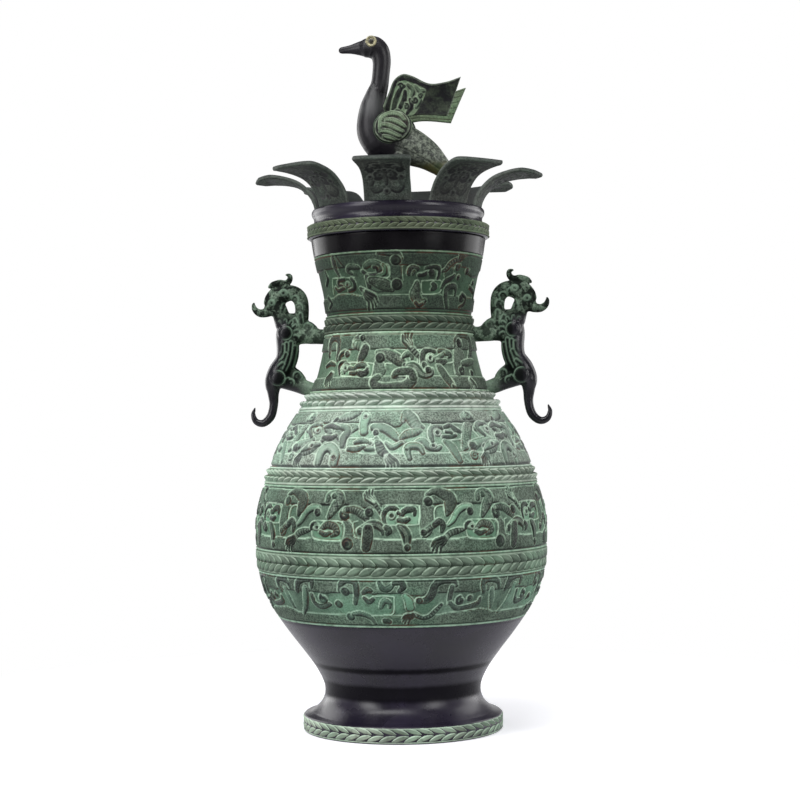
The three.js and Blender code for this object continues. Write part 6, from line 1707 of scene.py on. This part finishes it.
def floor_finish():
    """White floor that keeps the object's shadow near its foot, and throws little light back."""
    f = Finish("pale floor")
    path = f.node("LightPath").outputs
    seen = path["Is Camera Ray"]
    near = f.span(distance_from(f, GLOW_CENTRE), *GLOW_REACH, FLOOR_REFLECTION, 0.0)
    shown = f.math("MINIMUM", f.plus(seen, f.times(path["Is Glossy Ray"], near)), 1.0)
    far = f.times(f.span(distance_from(f, (0, 0, 0)), FLOOR_SHADOW / 2, FLOOR_SHADOW), seen)
    for name, value in (("Base Color", f.mix(seen, (0.30, 0.30, 0.30), (0.86, 0.86, 0.86))), ("Roughness", 0.9),
                        ("Specular IOR Level", 0.1), ("Emission Color", f.mix(shown, (0, 0, 0), (0.93, 0.93, 1.0))),
                        ("Emission Strength", FLOOR_GLOW)):
        f.put(f.shader.inputs[name], value)
    return show_two(f, far, f.shader.outputs[0], f.node("Emission", Color=(1, 1, 1)).outputs[0])


def card_finish():
    """White in reflections, clear to everything else."""
    f = Finish("white card")
    return show_two(f, f.node("LightPath").outputs["Is Glossy Ray"], f.node("BsdfTransparent").outputs[0],
                    f.node("Emission", Color=(1, 1, 1), Strength=CARD_GLOW).outputs[0])


def stage_piece(name, verts, faces, material):
    obj = new_object(name, verts, faces)
    obj.data.materials.append(material)


def make_world():
    """White where the camera sees it, dim in reflections, and a soft light on the object."""
    world = bpy.data.worlds.new("room")
    world.use_nodes = True
    bpy.context.scene.world = world
    nodes, links = world.node_tree.nodes, world.node_tree.links
    background = nodes["Background"]
    background.inputs["Color"].default_value = (1, 1, 1, 1)
    path = nodes.new("ShaderNodeLightPath")
    level = None
    for ray, strength in (("Is Glossy Ray", ROOM_REFLECTION), ("Is Camera Ray", 1.0)):
        pick = nodes.new("ShaderNodeMapRange")
        pick.inputs["To Min"].default_value = ROOM_LIGHT
        pick.inputs["To Max"].default_value = strength
        if level:
            links.new(level, pick.inputs["To Min"])
        links.new(path.outputs[ray], pick.inputs["Value"])
        level = pick.outputs["Result"]
    links.new(level, background.inputs["Strength"])


def stand(obj, at, ahead, roll=0.0):
    """Puts a lamp or the camera in its place, looking ahead."""
    obj.location = at
    obj.rotation_mode = "QUATERNION"
    obj.rotation_quaternion = Vector(ahead).to_track_quat("-Z", "Y") @ Matrix.Rotation(roll, 3, "Z").to_quaternion()
    bpy.context.scene.collection.objects.link(obj)


def make_light(name, at, size, power):
    light = bpy.data.lights.new(name, "AREA")
    light.shape = "RECTANGLE"
    light.size, light.size_y = size
    light.energy = power
    obj = bpy.data.objects.new(name, light)
    stand(obj, at, LIGHT_AIM - Vector(at))
    obj.visible_camera = False


def make_camera():
    camera = bpy.data.cameras.new("camera")
    camera.sensor_width = 36
    camera.lens = 78.5
    camera.clip_start, camera.clip_end = 0.05, 30
    obj = bpy.data.objects.new("camera", camera)
    s, c = math.sin(CAMERA_AZIMUTH), math.cos(CAMERA_AZIMUTH)
    flat = math.cos(CAMERA_PITCH)
    stand(obj, (CAMERA_DISTANCE * s, -CAMERA_DISTANCE * c, CAMERA_HEIGHT),
          (-s * flat, c * flat, math.sin(CAMERA_PITCH)), CAMERA_ROLL)
    bpy.context.scene.camera = obj


stage_piece("floor", [(x * FLOOR_SIZE, y * FLOOR_SIZE, 0) for x, y in ((-1, -1), (1, -1), (1, 1), (-1, 1))],
            [(0, 1, 2, 3)], floor_finish())
make_world()
# A white card half round the back, seen only in reflections: it gives the dark bronze its pale sides
card_angles = np.radians(np.linspace(-12, 192, CARD_STEPS + 1))
stage_piece("white_card", [(CARD_RADIUS * math.cos(a), CARD_RADIUS * math.sin(a), z) for z in (0, CARD_HEIGHT)
                           for a in card_angles],
            [(k, k + 1, k + CARD_STEPS + 2, k + CARD_STEPS + 1) for k in range(CARD_STEPS)], card_finish())
for name, *light in (("top", (-0.25, -0.6, 1.45), (1.3, 1.0), 19),
                     ("front_left", (-1.3, -1.3, 0.8), (0.7, 1.3), 13),
                     ("front_right", (1.5, -1.1, 0.7), (0.7, 1.3), 11),
                     ("back_left", (-1.1, 0.75, 0.45), (0.9, 1.5), 9),
                     ("back_right", (1.1, 0.75, 0.45), (0.9, 1.5), 9)):
    make_light(name, *light)
make_camera()
bpy.context.scene.view_settings.view_transform = "Standard"
